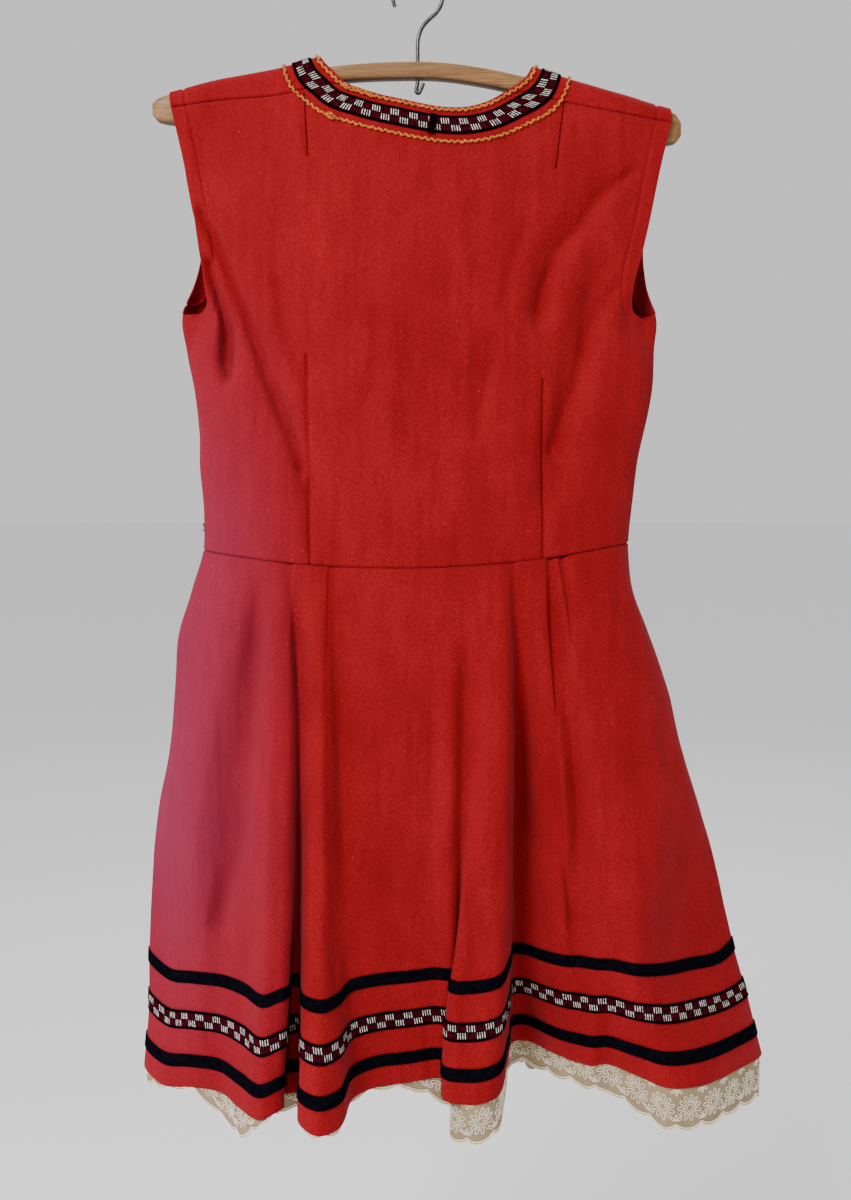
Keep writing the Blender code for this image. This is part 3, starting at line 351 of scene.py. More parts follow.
# Creases pressed into the skirt: depth, half width to the left, to the right, path
BACK_CREASES = mm(
    (2.4, 6, 1.5, ((-104, -478), (-106, -533), (-107, -575))),
    (1.8, 1.4, 8, ((-73, -478), (-74, -540), (-76, -590))),
    (2, 6, 1.5, ((80, -478), (79, -563), (79, -641))),
    (3.6, 1.8, 9, ((108, -478), (111.5, -523), (114, -580), (119, -640), (129, -690))),
    (3.8, 2, 6, ((119, -478), (124.5, -515), (127, -540), (128.5, -600))),
)
FRONT_CREASES = mm(
    (1.8, 1.4, 7, ((-90, -478), (-93, -540), (-96, -600))),
    (1.8, 7, 1.4, ((94, -478), (97, -540), (101, -610))),
)

# One over this is the share of their length, at their lower ends, over which they fade out
CREASE_FADE = 1.4

# Soft folds between the pleats: depth, below zero where the cloth is filled out instead,
# half width, path
SOFT_FOLDS = mm(
    (6, 8, ((-131, -505), (-140.7, -596.3), (-143.3, -661.1), (-151.5, -725.4), (-167.8, -788.9))),
    (5, 7, ((108.5, -505), (114.8, -596.3), (112.6, -661.1), (120.3, -725.4), (132.7, -788.9))),
    (-6.8, 9, ((29, -550), (26.6, -596.3), (26.2, -661.1), (23.5, -725.4), (26, -788.9), (27.5, -840),
               (27.5, -930))),
    (-7.8, 6.5, ((-99, -563.4), (-99, -661.1), (-102, -772.7), (-104, -852), (-106, -930))),
)

# They fade in over this height, which begins a share of it above their upper ends
SOFT_START = 0.070
SOFT_AHEAD = 0.3

# The left side seam is drawn in where the fastening gapes: lowest and highest z, x of all
# that is on the left, reach, dent
PLACKET = (-0.455, -0.372)
PLACKET_SIDE = -0.15
PLACKET_REACH = 0.003
PLACKET_DENT = 0.002

# Sewn seams and topstitching: depth, half width
SEAM = (0.0014, 0.0009)
TOPSTITCH = (0.0012, 0.0010)

# Width of an armhole's hem, reach of the waist seam below it, and the rows of the neck's
# cloth from one point of a shoulder seam to the next
ARMHOLE_HEM = 0.011
WAIST_NEAR = 0.01
SEAM_EVERY = 4

# Where the back's armhole edges are drawn in beside the underarms: x, z, shift x, shift z, reach
ARMHOLE_PULLS = mm(
    (-191.6, -282.8, 15, -2, 22),
    (192.6, -284.5, -12.5, -6, 22),
)

# Depth over which this pull sets in behind the side seams
ARMHOLE_START = 0.006

# Share of the armhole over which its edge is led into the corner of the underarm
CORNER_RISE = 0.15

# Slight unevenness of the wool: size, turn, lean, height
WANDER = (
    (0.0130, 0.4, 0.6, 0.00022),
    (0.0071, 1.9, 0.8, 0.00012),
)

# The hanger bar: x, top z, bottom z, half thickness; its rounded corners, which are at most
# a share of half a side, the steps round one, and the length of a cell
BAR = mm(
    (-220.5, -106, -115.5, 2.5), (-217, -103.2, -120, 4.8), (-208, -99.8, -123.2, 6),
    (-190, -95.2, -122.5, 6), (-165, -89.3, -113, 6), (-130, -83.8, -101, 6), (-90, -79, -93, 6),
    (-55, -75, -89, 6), (-20, -73, -87.5, 6), (20, -73.5, -88, 6), (55, -78, -93, 6),
    (90, -85, -100.5, 6), (130, -92, -111, 6), (165, -100.1, -124, 6), (188, -106.7, -137, 6),
    (205, -111.5, -140.5, 6), (215, -115.5, -138, 4.8), (219, -122, -133, 2.5))
BAR_CORNER = 0.0045
BAR_ROUND = 0.9
BAR_CORNER_STEPS = 6
BAR_CELL = 0.006

# The wire hook: wire radius, inside radius of its loop, its foot (x, z) and the step along
# it, sweep of the loop in degrees and the steps round it, sides of the wire
HOOK_RADIUS = 0.0017
HOOK_INSIDE = 0.019
HOOK_FOOT = mm(
    (4.8, -89.5), (4, -91.2), (2.4, -95), (0.6, -97.5), (-1, -96.8), (-1.2, -94.5), (-0.3, -90.5),
    (0, -86), (0, -76), (0, -64), (0.4, -54), (3.5, -45))
HOOK_STEP = 0.0008
HOOK_SWEEP = (-58.0, 205.0)
HOOK_STEPS = 72
HOOK_SIDES = 16

# The small hook of the side fastening: its middle's z, wire radius, half height and half
# width, sweep in degrees and the steps round it, sides of the wire
SIDE_HOOK_Z = -0.458
SIDE_HOOK_WIRE = 0.0006
SIDE_HOOK_LOOP = (0.0032, 0.0022)
SIDE_HOOK_SWEEP = (-150.0, 150.0)
SIDE_HOOK_STEPS = 40
SIDE_HOOK_SIDES = 10

# Gold braid: wave length, points in a wave, sway and its unevenness (usual share, swing, two
# turns), strand radius and sides, and in strand radii how far its two strands go round each
# other and how high they lie
BRAID_WAVE = 0.0055
BRAID_STEPS = 12
BRAID_SWAY = 0.0008
BRAID_UNEVEN = (0.85, 0.45, 0.37, 0.11)
BRAID_STRAND = 0.00068
BRAID_SIDES = 6
BRAID_TWIST = 0.75
BRAID_LIFT = 1.2

# Loose knots of the braids: x, z, half length, half width, turn
INNER_KNOTS = (
    (-0.0590, -0.0965, 0.0030, 0.0013, 0.5),
    (-0.0545, -0.0985, 0.0024, 0.0016, -0.4),
    (-0.0500, -0.1000, 0.0028, 0.0012, 0.2),
    (-0.0455, -0.1012, 0.0026, 0.0017, -0.3),
    (-0.0405, -0.1030, 0.0030, 0.0013, 0.5),
)
OUTER_KNOTS = (
    (-0.0740, -0.1205, 0.0040, 0.0019, 0.35),
    (-0.0690, -0.1235, 0.0024, 0.0012, -0.2),
)
KNOT_STEPS = 20
KNOT_LIFT = 2.6
KNOT_THIN = 0.8

# Folded end of the ribbon where it meets itself: half width, how far it stands out below the
# ribbon, how round it is, points across it, and a cloth place that is off the ribbon's bars
JOIN_HALF = 0.0024
JOIN_BELOW = 0.0014
JOIN_CROWN = 0.95
JOIN_POINTS = 9
OFF_BARS = -0.003

# Its loose threads: how many, radius, points, half the width they spread over, wave (height,
# turn along a thread and from thread to thread), fray (length, usual share, swing, turn),
# upper end, and height in thicknesses of the ribbon
JOIN_THREADS = 11
JOIN_THREAD = 0.00016
JOIN_STEPS = 8
JOIN_SPREAD = 0.0036
JOIN_WAVE = (0.0005, 5.0, 1.7)
JOIN_FRAY = (0.0022, 0.55, 0.45, 2.3)
JOIN_TOP = 0.004
JOIN_LIFT = 2.2

# Woven ribbon: repeat, bars of a colour, half width of a bar, middle, rows, bar length, rib,
# lean, and how softly a bar's sides and ends fade out
RIBBON_REPEAT = 0.0158
RIBBON_BARS = 4.0
RIBBON_BAR_SHARE = 0.18
RIBBON_MIDDLE = 0.0075
RIBBON_ROW = 0.0029
RIBBON_BAR_LENGTH = 0.0053
RIBBON_RIB = 0.0007
RIBBON_LEAN = 0.15
BAR_SIDE_SOFT = 0.04
BAR_END_SOFT = 0.0004

# Lace: its height, how far it goes up behind the hem, its cells and its scallops
LACE_HEIGHT = 0.050
LACE_BEHIND = 0.054
LACE_ROW = 0.002
LACE_GAP = 0.0006
LACE_CELL = 0.0015
LACE_NET_ROWS = 14
LACE_PERIOD = 0.025
SCALLOP = 0.0045
SCALLOP_POWER = 0.7
NET_CELL = 0.0013
NET_VEIL = 0.76

# Embroidery of looped threads: daisies with a ring, small leaves between them at two heights,
# and satin edge lines. Petals and leaves: nearest to the middle, farthest from it, half
# width. The taper of a loop is the share of its width at its base, and what is added outwards
THREAD = 0.00037
THREAD_SIDES = 4
LOOP_STEPS = 12
LOOP_TAPER = (0.55, 0.45)
PETALS = 11
PETAL = (0.0042, 0.0112, 0.0017)
FLOWER_RING = 0.0028
FLOWER_UP = 0.0200
LEAVES = (-52.0, 0.0, 52.0)
LEAF = (0.0012, 0.0060, 0.0012)
LEAVES_UP = (0.0085, 0.0370)
EDGE_LINES = (0.0005, 0.0024)
EDGE_THREAD = 0.00062
LACE_EDGE_STEP = 0.0012

# Reds of the wool: its darker and lighter parts, its grain, the painted magenta haze of light on its
# left side and how strong it is, the painted shade along its sewn darts
WOOL_DARK = (0.215, 0.0050, 0.0078)
WOOL_LIGHT = (0.330, 0.0095, 0.0140)
WOOL_GRAIN = (0.150, 0.0030, 0.0052)
HAZE_COLOUR = (0.205, 0.0330, 0.0760)
HAZE_SHARE = 0.65
# Painted shade along the sewn dart lines
DART_SHADE = (0.035, 0.0010, 0.0014)
LINT = (0.42, 0.20, 0.18)

# Where the painted haze of light is: y of the back half, x of the left side, z where it sets in and
# ends
BACK_HALF = (-0.012, 0.030)
HAZE_SIDE = (-0.22, -0.09)
HAZE_RISES = (-0.95, -0.72)
HAZE_FALLS = (-0.46, -0.25)

# Darker and lighter colours of the other materials
VELVET_COLOURS = ((0.0014, 0.0014, 0.0024), (0.0036, 0.0036, 0.0060))
RIBBON_GROUND = ((0.0030, 0.0014, 0.0020), (0.016, 0.0012, 0.0030))
RIBBON_RED = ((0.030, 0.0014, 0.0040), (0.110, 0.0045, 0.0150))
RIBBON_CREAM = ((0.24, 0.19, 0.17), (0.88, 0.84, 0.76))
GOLD_COLOURS = ((0.30, 0.055, 0.005), (0.64, 0.200, 0.024))
GOLD_WORN = (0.34, 0.125, 0.026)
NET_COLOURS = ((0.310, 0.222, 0.115), (0.400, 0.295, 0.160))
NET_MESHES = (0.215, 0.165, 0.105)
THREAD_COLOURS = ((0.88, 0.77, 0.57), (0.97, 0.89, 0.71))
WOOD_COLOURS = ((0.150, 0.066, 0.017), (0.330, 0.170, 0.055))
WOOD_DARK = (0.120, 0.052, 0.014)
# Painted shade on the underside of the wooden bar
WOOD_UNDER_SHADE = (0.035, 0.024, 0.016)
HANGER_STEEL = ((0.045, 0.045, 0.045), (0.110, 0.110, 0.110))
HOOK_STEEL = ((0.28, 0.28, 0.28), (0.60, 0.60, 0.60))
FLOOR_COLOUR = (0.92, 0.92, 0.92, 1.0)

# Sewn lines of the two shoulder darts, darkened with painted shade: top and lower end (x, z), the half
# width of the painted shade, and the share of it that is darkest
SHOULDER_DARTS = mm(
    ((-93.5, -101), (-90, -154.5)),
    ((120.5, -108), (113, -164.5)),
)
DART_LINE = 0.0009
LINE_CORE = 0.4

# Camera: place, degrees that it looks down, lens and height of its sensor in millimetres
CAMERA_PLACE = (0.00643, -1.10, -0.43457)
CAMERA_PITCH = 4.4556
CAMERA_LENS = 38.617
SENSOR_HEIGHT = 36.0

# Surroundings: the floor, the plain bright world and the lights, which are round and soft:
# name, place, what it points at, size, energy, colour
FLOOR_Z = -1.5
FLOOR_RADIUS = 60.0
FLOOR_CORNERS = 96
WORLD_STRENGTH = 0.8
MIDDLE = (0.02, 0.0, -0.55)
LIGHTS = (
    ("key", (-1.30, -2.15, 1.25), MIDDLE, 1.2, 101.0, (1.0, 0.97, 0.95)),
    ("behind", (1.30, 1.60, 2.00), MIDDLE, 1.2, 50.0, (1.0, 0.98, 0.96)),
    ("window", (-1.5, -0.25, -0.45), (-0.15, 0.0, -0.62), 0.9, 10.0, (0.80, 0.55, 1.0)),
)


def smooth(value):
    """0 below 0, 1 above 1, with a soft start and end."""
    t = np.clip(value, 0.0, 1.0)
    return t * t * (3 - 2 * t)


def unit(vectors):
    """Vectors of length 1 in the same directions."""
    return vectors / np.maximum(norm(vectors, axis=-1), TINY)[..., None]


def ways_round(points, axis):
    """The way from the point before to the point after, along closed lines."""
    return np.roll(points, -1, axis=axis) - np.roll(points, 1, axis=axis)


def closed_up(grid):
    """A grid with its first column once more at its end."""
    return np.concatenate((grid, grid[:, :1]), axis=1)


def curve(t, start, end, leave, arrive):
    """Points between two points, on smooth curves with slopes at both ends."""
    rise = smooth(t)
    return start * (1 - rise) + end * rise + leave * t * (1 - t) ** 2 + arrive * t * t * (t - 1)


def read_table(table, keys):
    """The columns of a table at some keys, on smooth curves through its rows."""
    rows = np.array(sorted(table), dtype=float)
    places, values = rows[:, 0], rows[:, 1:]
    step = np.diff(places)[:, None]
    rate = np.diff(values, axis=0) / step
    inner = (rate[:-1] * step[1:] + rate[1:] * step[:-1]) / (step[1:] + step[:-1])
    slope = np.vstack((rate[:1], inner, rate[-1:]))
    keys = np.clip(np.asarray(keys, dtype=float), places[0], places[-1])
    i = np.clip(np.searchsorted(places, keys, side="right") - 1, 0, len(places) - 2)
    t = (keys - places[i])[..., None] / step[i]
    return curve(t, values[i], values[i + 1], slope[i] * step[i], slope[i + 1] * step[i])


def closed_curves(points, samples):
    """Closed centripetal curves through rows of points, with samples in each interval."""
    p0, p1, p2, p3 = (np.roll(points, shift, axis=1) for shift in (1, 0, -1, -2))
    k01, k12, k23 = (np.sqrt(norm(b - a, axis=2))[..., None]
                     for a, b in ((p0, p1), (p1, p2), (p2, p3)))
    leave = ((p1 - p0) / k01 - (p2 - p0) / (k01 + k12) + (p2 - p1) / k12) * k12
    arrive = ((p2 - p1) / k12 - (p3 - p1) / (k12 + k23) + (p3 - p2) / k23) * k12
    steps = [curve(t, p1, p2, leave, arrive) for t in np.arange(samples) / samples]
    rows, count, size = points.shape
    return np.stack(steps, axis=2).reshape(rows, count * samples, size)


def distances(points):
    """Distance along a line of points, for each of them."""
    return np.concatenate(([0.0], np.cumsum(norm(np.diff(points, axis=0), axis=1))))


def ridge(x):
    """Height of the top of the shoulders at x."""
    return read_table(RIDGE, x)[..., 0]


def run_at(x, z):
    """Distance down the cloth from the ridge to height z."""
    drop = np.maximum(0.0, ridge(x) - z)
    arc = WRAP * np.arccos(np.clip(1 - drop / WRAP, -1.0, 1.0))
    return np.where(drop < WRAP, arc, QUARTER + drop - WRAP)


def drop_at(reach):
    """Height below the ridge at a distance down the cloth."""
    arc = WRAP * (1 - np.cos(np.minimum(reach, QUARTER) / WRAP))
    return np.where(reach < QUARTER, arc, WRAP + reach - QUARTER)


def in_pattern(x, z):
    """The pattern point (x, run) of a place on the back."""
    return np.array((x, float(run_at(x, z))))


def path_distance(points, path):
    """Distance of flat points from a path of straight stretches."""
    nearest = np.full(points.shape[:-1], np.inf)
    path = np.asarray(path, dtype=float)
    for start, end in zip(path, path[1:]):
        way = end - start
        t = np.clip((points - start) @ way / (way @ way), 0.0, 1.0)
        away = points - start - t[..., None] * way
        nearest = np.minimum(nearest, norm(away, axis=-1))
    return nearest


def groove(distance, depth, half_width):
    """How far a sewn line or a fold pulls the cloth in at a distance from it."""
    return depth * np.exp(-(distance / half_width) ** 2)


def fold_depth(x, z, folds):
    """How far the folds push the cloth in at some points."""
    points = np.stack((x, z), axis=-1)
    return sum((groove(path_distance(points, path), depth, half_width)
                for depth, half_width, path in folds), np.zeros(points.shape[:-1]))


def bodice_depth(x, z, side):
    """How far the bodice stands out at x and z, on the back (1) or the front (-1)."""
    left, right = np.moveaxis(read_table(OUTLINE, z), -1, 0)
    share = np.abs(x - (left + right) / 2) / ((right - left) / 2)
    back, front, edge, roundness = np.moveaxis(read_table(FULLNESS, z), -1, 0)
    full = back if side > 0 else front
    crown = np.maximum(0.0, 1 - np.minimum(1.0, share) ** SECTION_POWER) ** (1 / roundness)
    return edge + (full - edge - fold_depth(x, z, FOLDS[side])) * crown


def bodice_points(pattern):
    """Points on the bodice at pattern points (x, run), run down the back (+) or the front (-)."""
    x, run = pattern[..., 0], pattern[..., 1]
    reach = np.abs(run)
    z = ridge(x) - drop_at(reach)
    full = np.where(run >= 0, bodice_depth(x, z, 1), bodice_depth(x, z, -1))
    full = WRAP + (full - WRAP) * smooth((reach - QUARTER) / WRAP_FADE)
    depth = np.where(reach < QUARTER, WRAP * np.sin(reach / WRAP), full)
    return np.stack((x, np.where(run >= 0, -depth, depth), z), axis=-1)


def lower_points(share, rise, side):
    """Points of the bodice between the waist (rise 0) and the underarm (rise 1)."""
    z_left, z_right = (WAIST[k] + (UNDERARM - WAIST[k]) * rise for k in (-1, 1))
    left = read_table(OUTLINE, z_left)[..., 0]
    right = read_table(OUTLINE, z_right)[..., 1]
    z = z_left + (z_right - z_left) * (share + 1) / 2
    z = z - WAIST_DROP * (1 - rise) ** 3 * (1 - share * share)
    x = (left + right) / 2 + share * (right - left) / 2
    full = read_table(FULLNESS, z)[..., 0 if side > 0 else 1]
    crown = np.sqrt(np.maximum(0.0, 1 - np.abs(share) ** SECTION_POWER))
    return np.stack((x, -side * (full - fold_depth(x, z, FOLDS[side])) * crown, z), axis=-1)


def spaced(length, cell, fine=()):
    """Places from 0 to a length about a cell apart, closer beside the fine places."""
    count = max(1, round(length / cell))
    places = set(np.round(np.linspace(0.0, length, count + 1), 6))
    for centre in fine:
        around = [centre] + [centre + way * reach for reach in BESIDE for way in (-1, 1)]
        places = {p for p in places if abs(p - centre) > BESIDE[-1] + cell / 3 or p in (0.0, length)}
        places |= {round(p, 6) for p in around if 0 <= p <= length}
    ordered = sorted(places)
    least = BESIDE[0] * LEAST_GAP
    kept = [ordered[0]]
    for place in ordered[1:-1]:
        if place - kept[-1] > least and ordered[-1] - place > least:
            kept.append(place)
    return np.array(kept + [ordered[-1]])


def along(points, shares):
    """Points of a line at shares of its length."""
    places = distances(points)
    return np.column_stack([np.interp(shares * places[-1], places, column) for column in points.T])


def by_run(points, runs):
    """Points of a line at the given runs, where its runs only rise or only fall."""
    order = np.argsort(points[:, 1])
    return np.column_stack((np.interp(runs, points[order, 1], points[order, 0]), runs))


def outward_normals(dense):
    """Directions in the pattern plane that point out of a closed curve."""
    tangent = unit(ways_round(dense, 0))
    normal = np.column_stack((tangent[:, 1], -tangent[:, 0]))
    inward = np.sum((dense - dense.mean(axis=0)) * normal) < 0
    return -normal if inward else normal


def ways_out(points, straight, sides):
    """The ways out from neck points, turned to run along the shoulder seams beside them."""
    ways = straight
    for side in sides:
        start = in_pattern(*SEAM_NECK[side])
        along_seam = unit(in_pattern(*SEAM_MID[side]) - start)
        if len(sides) == 2:
            share = 1 - smooth(norm(points - start, axis=1) / SEAM_BLEND)[:, None]
            ways = ways * (1 - share) + along_seam * share
        else:
            across = np.array((float(side), 0.0))
            near = ((points[:, 1] - QUARTER) / (start[1] - QUARTER))[:, None]
            far = smooth((-points[:, 1] - QUARTER) / SEAM_BLEND)[:, None]
            ways = np.where(points[:, 1:] > QUARTER, across * (1 - near) + along_seam * near,
                            across * (1 - far) + straight * far)
    return unit(ways)


def neck_spans():
    """The four stretches of the neck edge, the ways out from their points, and the edge."""
    corners = [(x, 0.0 if z is None else side * float(run_at(x, z))) for x, z, side in NECK_EDGE]
    dense = closed_curves(np.array([corners]), NECK_SAMPLES)[0]
    loop = np.vstack((dense, dense[:1]))
    normal = outward_normals(dense)
    marks = [k * NECK_SAMPLES for k in NECK_MARKS] + [len(dense)]
    back, right, bottom, left = (loop[a:b + 1] for a, b in zip(marks, marks[1:]))
    seam_right = spaced(right[0, 1] - right[-1, 1], CELL, (0.0,))
    seam_left = spaced(left[-1, 1] - left[0, 1], CELL, (0.0,))
    bottom_shares = np.linspace(0.0, 1.0, round(NECK_BOTTOM / CELL) + 1)
    spans = (along(back, BACK_NECK_PLACES), by_run(right, right[0, 1] - seam_right),
             along(bottom, bottom_shares), by_run(left, left[-1, 1] - seam_left)[::-1])
    ways = []
    for span, sides in zip(spans, ((-1, 1), (1,), (), (-1,))):
        gaps = norm(span[:, None] - dense[None], axis=2)
        ways.append(ways_out(span, normal[np.argmin(gaps, axis=1)], sides))
    return spans, ways, dense


def out_from(points, ways, offset, edge):
    """The points along the ways whose distance from the neck edge is the offset."""
    low = np.zeros(len(points))
    high = np.full(len(points), offset * FARTHEST)
    for _ in range(BISECTIONS):
        mid = (low + high) / 2
        at = points + ways * mid[:, None]
        gap = np.min(norm(at[:, None] - edge[None], axis=2), axis=1)
        low = np.where(gap < offset, mid, low)
        high = np.where(gap < offset, high, mid)
    return points + ways * ((low + high) / 2)[:, None]


def coons(bottom, top, left, right, rise):
    """Rows between two lines, bent near the ends to follow the two edges."""
    share = distances(bottom)
    share = share / share[-1]
    near_left = 1 - smooth(share / EDGE_REACH)
    near_right = 1 - smooth((1 - share) / EDGE_REACH)
    t = rise[:, None, None]
    rows = bottom * (1 - t) + top * t
    to_left = (left - rows[:, 0])[:, None]
    to_right = (right - rows[:, -1])[:, None]
    return rows + near_left[:, None] * to_left + near_right[:, None] * to_right


def side_shares(inner, dart):
    """Chest shares from a side seam in to an inner column, closer beside a dart."""
    start = (1 - SIDE_SHARES[-1]) * CHEST_HALF
    rest = start - spaced(start - inner * CHEST_HALF, CELL, (start - dart * CHEST_HALF,))
    return np.concatenate((1 - np.array(SIDE_SHARES), rest[1:] / CHEST_HALF))


def panel_columns(main, middle, darts):
    """Waist share, chest share and place along the top of every column of a panel."""
    main = np.array(main)
    way = math.copysign(1.0, main[-1, 1])
    first = main[main[:, 2] == 1.0][0]
    last = main[main[:, 2] == 2.0][0]
    before = -way * side_shares(abs(first[1]), darts[0])
    after = way * side_shares(abs(last[1]), darts[1])[::-1]
    parts = [np.column_stack([np.interp(chest * way, rows[:, 1] * way, column) for column in rows.T])
             for chest, rows in ((before, main[main[:, 2] <= 1.0]), (after, main[main[:, 2] >= 2.0]))]
    inner = first + (last - first) * middle[:, None]
    return np.vstack((parts[0], inner[1:-1], parts[1])), len(before), len(after)


def shoulder_row(side, inner, shares):
    """Pattern points along a shoulder seam, from its tip in to the neck trim."""
    return TIP[side] + (inner - TIP[side]) * shares[:, None]


def lower_patch(columns, side):
    """The bodice from the waist up to the underarm, and how deep its sewn lines lie."""
    rise = spaced(BODICE_LOWER, CELL, (0.0,))[:, None] / BODICE_LOWER
    shares = columns[:, 0] * (1 - rise) + columns[:, 1] * rise
    from_side = np.sqrt(SECTION_POWER * np.maximum(0.0, 1 - np.abs(shares))) * SIDE_FULL
    from_waist = np.broadcast_to(rise * BODICE_LOWER, shares.shape)
    return lower_points(shares, rise, side), groove(from_side, *SEAM) + groove(from_waist, *SEAM)


def front_edges(side, runs):
    """Pattern points of the armhole edge at runs from the ridge, from the shoulder seam on."""
    on_ridge = RIDGE_EDGE[side]
    behind = on_ridge + (TIP[side][0] - on_ridge) * np.maximum(runs, 0.0) / TIP[side][1]
    drop = drop_at(np.maximum(-runs, 0.0))
    before = np.full(len(runs), on_ridge)
    for _ in range(EDGE_STEPS):
        before = read_table(OUTLINE, ridge(before) - drop)[:, 0 if side < 0 else 1]
    return np.column_stack((np.where(runs < 0, before, behind), runs))


def armhole_paths():
    """The two armhole edges in the pattern plane, from back underarm to front underarm."""
    back = read_table(ARMHOLE, np.linspace(0.0, 1.0, EDGE_POINTS))
    paths = []
    for side, columns in ((-1, slice(0, 2)), (1, slice(2, 4))):
        runs = np.linspace(back[-1, columns][1], -FRONT_EDGE_RUN, 2 * EDGE_POINTS)
        paths.append(np.vstack((back[:, columns], front_edges(side, runs)[1:])))
    return paths


def pattern_relief(pattern, seams, edges):
    """How deep the shoulder seams and the stitched armhole hems lie at pattern points."""
    relief = np.zeros(pattern.shape[:-1])
    for seam in seams:
        relief += groove(path_distance(pattern, seam), *SEAM)
    for edge in edges:
        relief += groove(path_distance(pattern, edge) - ARMHOLE_HEM, *TOPSTITCH)
    return relief


def from_corner(edge, corner, rise):
    """An armhole edge led into the corner of the underarm."""
    near = 1 - smooth(rise / CORNER_RISE)
    return edge + near[:, None] * (corner - edge[0])


def underarm_row(lower, side):
    """The top row of a lower patch as pattern points."""
    return np.column_stack((lower[-1, :, 0], side * run_at(lower[-1, :, 0], lower[-1, :, 2])))


def neck_zone(span, way, edge):
    """Pattern points beside a stretch of the neck edge, from the outer braid in to the edge."""
    offsets = np.linspace(ZONE, 0.0, ZONE_ROWS + 1)[:-1]
    return np.array([out_from(span, way, offset, edge) for offset in offsets] + [span])


def back_bodice(spans, ways, edge):
    """Patches of the back bodice, columns from left to right and rows upwards."""
    zone = neck_zone(spans[0], ways[0], edge)
    columns, before, after = panel_columns(BACK_COLUMNS, BACK_NECK_PLACES, BACK_DART_SHARES)
    rim = zone[0]
    top = np.vstack((shoulder_row(-1, rim[0], columns[:before - 1, 2]), rim,
                     shoulder_row(1, rim[-1], 3.0 - columns[1 - after:, 2])))
    lower = lower_patch(columns, 1)
    bottom = underarm_row(lower[0], 1)
    rise = spaced(BODICE_UPPER, CELL, (BODICE_UPPER,)) / BODICE_UPPER
    edges = read_table(ARMHOLE, rise)
    left_edge = from_corner(edges[:, :2], bottom[0], rise)
    right_edge = from_corner(edges[:, 2:], bottom[-1], rise)
    return lower, [coons(bottom, top, left_edge, right_edge, rise), zone]


def front_strap(zone, side, shares):
    """Pattern rows of a shoulder strip, from its armhole edge in to the neck zone."""
    rim = zone[0]
    seam = -1 if side < 0 else 0
    stretch = TIP[side][1] / rim[seam, 1]
    outer = front_edges(side, np.where(rim[:, 1] > 0, rim[:, 1] * stretch, rim[:, 1]))
    rows = outer + (rim - outer) * shares[:, None, None]
    rows[:, seam] = shoulder_row(side, rim[seam], shares)
    return rows


def front_bodice(spans, ways, edge):
    """Patches of the front bodice, columns round from right to left and rows upwards."""
    zones = [neck_zone(span, way, edge) for span, way in zip(spans[1:], ways[1:])]
    middle = np.linspace(0.0, 1.0, len(spans[2]))
    columns, before, after = panel_columns(FRONT_COLUMNS, middle, FRONT_DART_SHARES)
    strap_right = front_strap(zones[0], 1, columns[:before, 2])
    strap_left = front_strap(zones[2], -1, 3.0 - columns[-after:, 2][::-1])
    top = np.vstack((strap_right[:-1, -1], zones[1][0], strap_left[::-1][1:, 0]))
    lower = lower_patch(columns, -1)
    bottom = underarm_row(lower[0], -1)
    rise = spaced(BODICE_UPPER, CELL) / BODICE_UPPER
    edges = []
    for side, at in ((1, 0), (-1, -1)):
        start = bottom[at, 1]
        edge_line = front_edges(side, start + (top[at, 1] - start) * rise)
        edges.append(from_corner(edge_line, bottom[at], rise))
    return lower, [coons(bottom, top, *edges, rise), *zones, strap_right, strap_left]


def quads(a, b, c, d):
    """Four-sided faces from the numbers of their corners."""
    return np.stack((a, b, c, d), axis=-1).reshape(-1, 4)


def grid_faces(rows, columns):
    """The faces between rows and columns of points."""
    index = np.arange(rows * columns).reshape(rows, columns)
    return quads(index[:-1, :-1], index[:-1, 1:], index[1:, 1:], index[1:, :-1])


def joined(parts):
    """One set of points and faces out of several."""
    bases = np.cumsum([0] + [len(points) for points, _ in parts])
    faces = [faces + base for (_, faces), base in zip(parts, bases)]
    return np.vstack([points for points, _ in parts]), np.vstack(faces)


def weld(patches, reliefs):
    """Shared points, four-sided faces and reliefs of some patches of rows and columns."""
    points, faces = joined([(patch.reshape(-1, 3), grid_faces(*patch.shape[:2])) for patch in patches])
    relief = np.concatenate([part.reshape(-1) for part in reliefs])
    keys = np.round(points / WELD).astype(np.int64)
    _, first, index = np.unique(keys, axis=0, return_index=True, return_inverse=True)
    return points[first], index.reshape(-1)[faces], relief[first]


def point_normals(points, faces):
    """Outward directions of the points of a mesh of four-sided faces."""
    corners = points[faces]
    cross = np.cross(corners[:, 2] - corners[:, 0], corners[:, 3] - corners[:, 1])
    normals = np.zeros_like(points)
    for k in range(4):
        np.add.at(normals, faces[:, k], cross)
    return unit(normals)


def wander(points):
    """Slight unevenness of hand-pressed wool, worked out from the place."""
    x, y, z = np.moveaxis(points, -1, 0)
    total = np.zeros(x.shape)
    for size, turn, lean, height in WANDER:
        total += height * np.sin(x / size + turn + 1.3 * np.sin(z / size * lean + turn))
        total += height * np.cos(z / size * 0.7 + 2 * turn + y / size)
    return total


def rim_of(points, faces, normals, thickness):
    """The open edges of a sheet, each point's partner on a rounded rim, and the rim's points."""
    count = len(points)
    sides = np.vstack([faces[:, [k, (k + 1) % 4]] for k in range(4)])
    met = np.isin(sides[:, 0] * count + sides[:, 1], sides[:, 1] * count + sides[:, 0])
    edges = sides[~met & (sides[:, 0] != sides[:, 1])]
    outward = np.zeros_like(points)
    for k in (0, 1):
        way = np.cross(points[edges[:, 1]] - points[edges[:, 0]], normals[edges[:, k]])
        np.add.at(outward, edges[:, k], way)
    used = np.unique(edges)
    middle = points[used] - normals[used] * thickness / 2 + unit(outward[used]) * thickness * RIM
    place = np.full(count, -1)
    place[used] = np.arange(len(used))
    return edges, place, middle


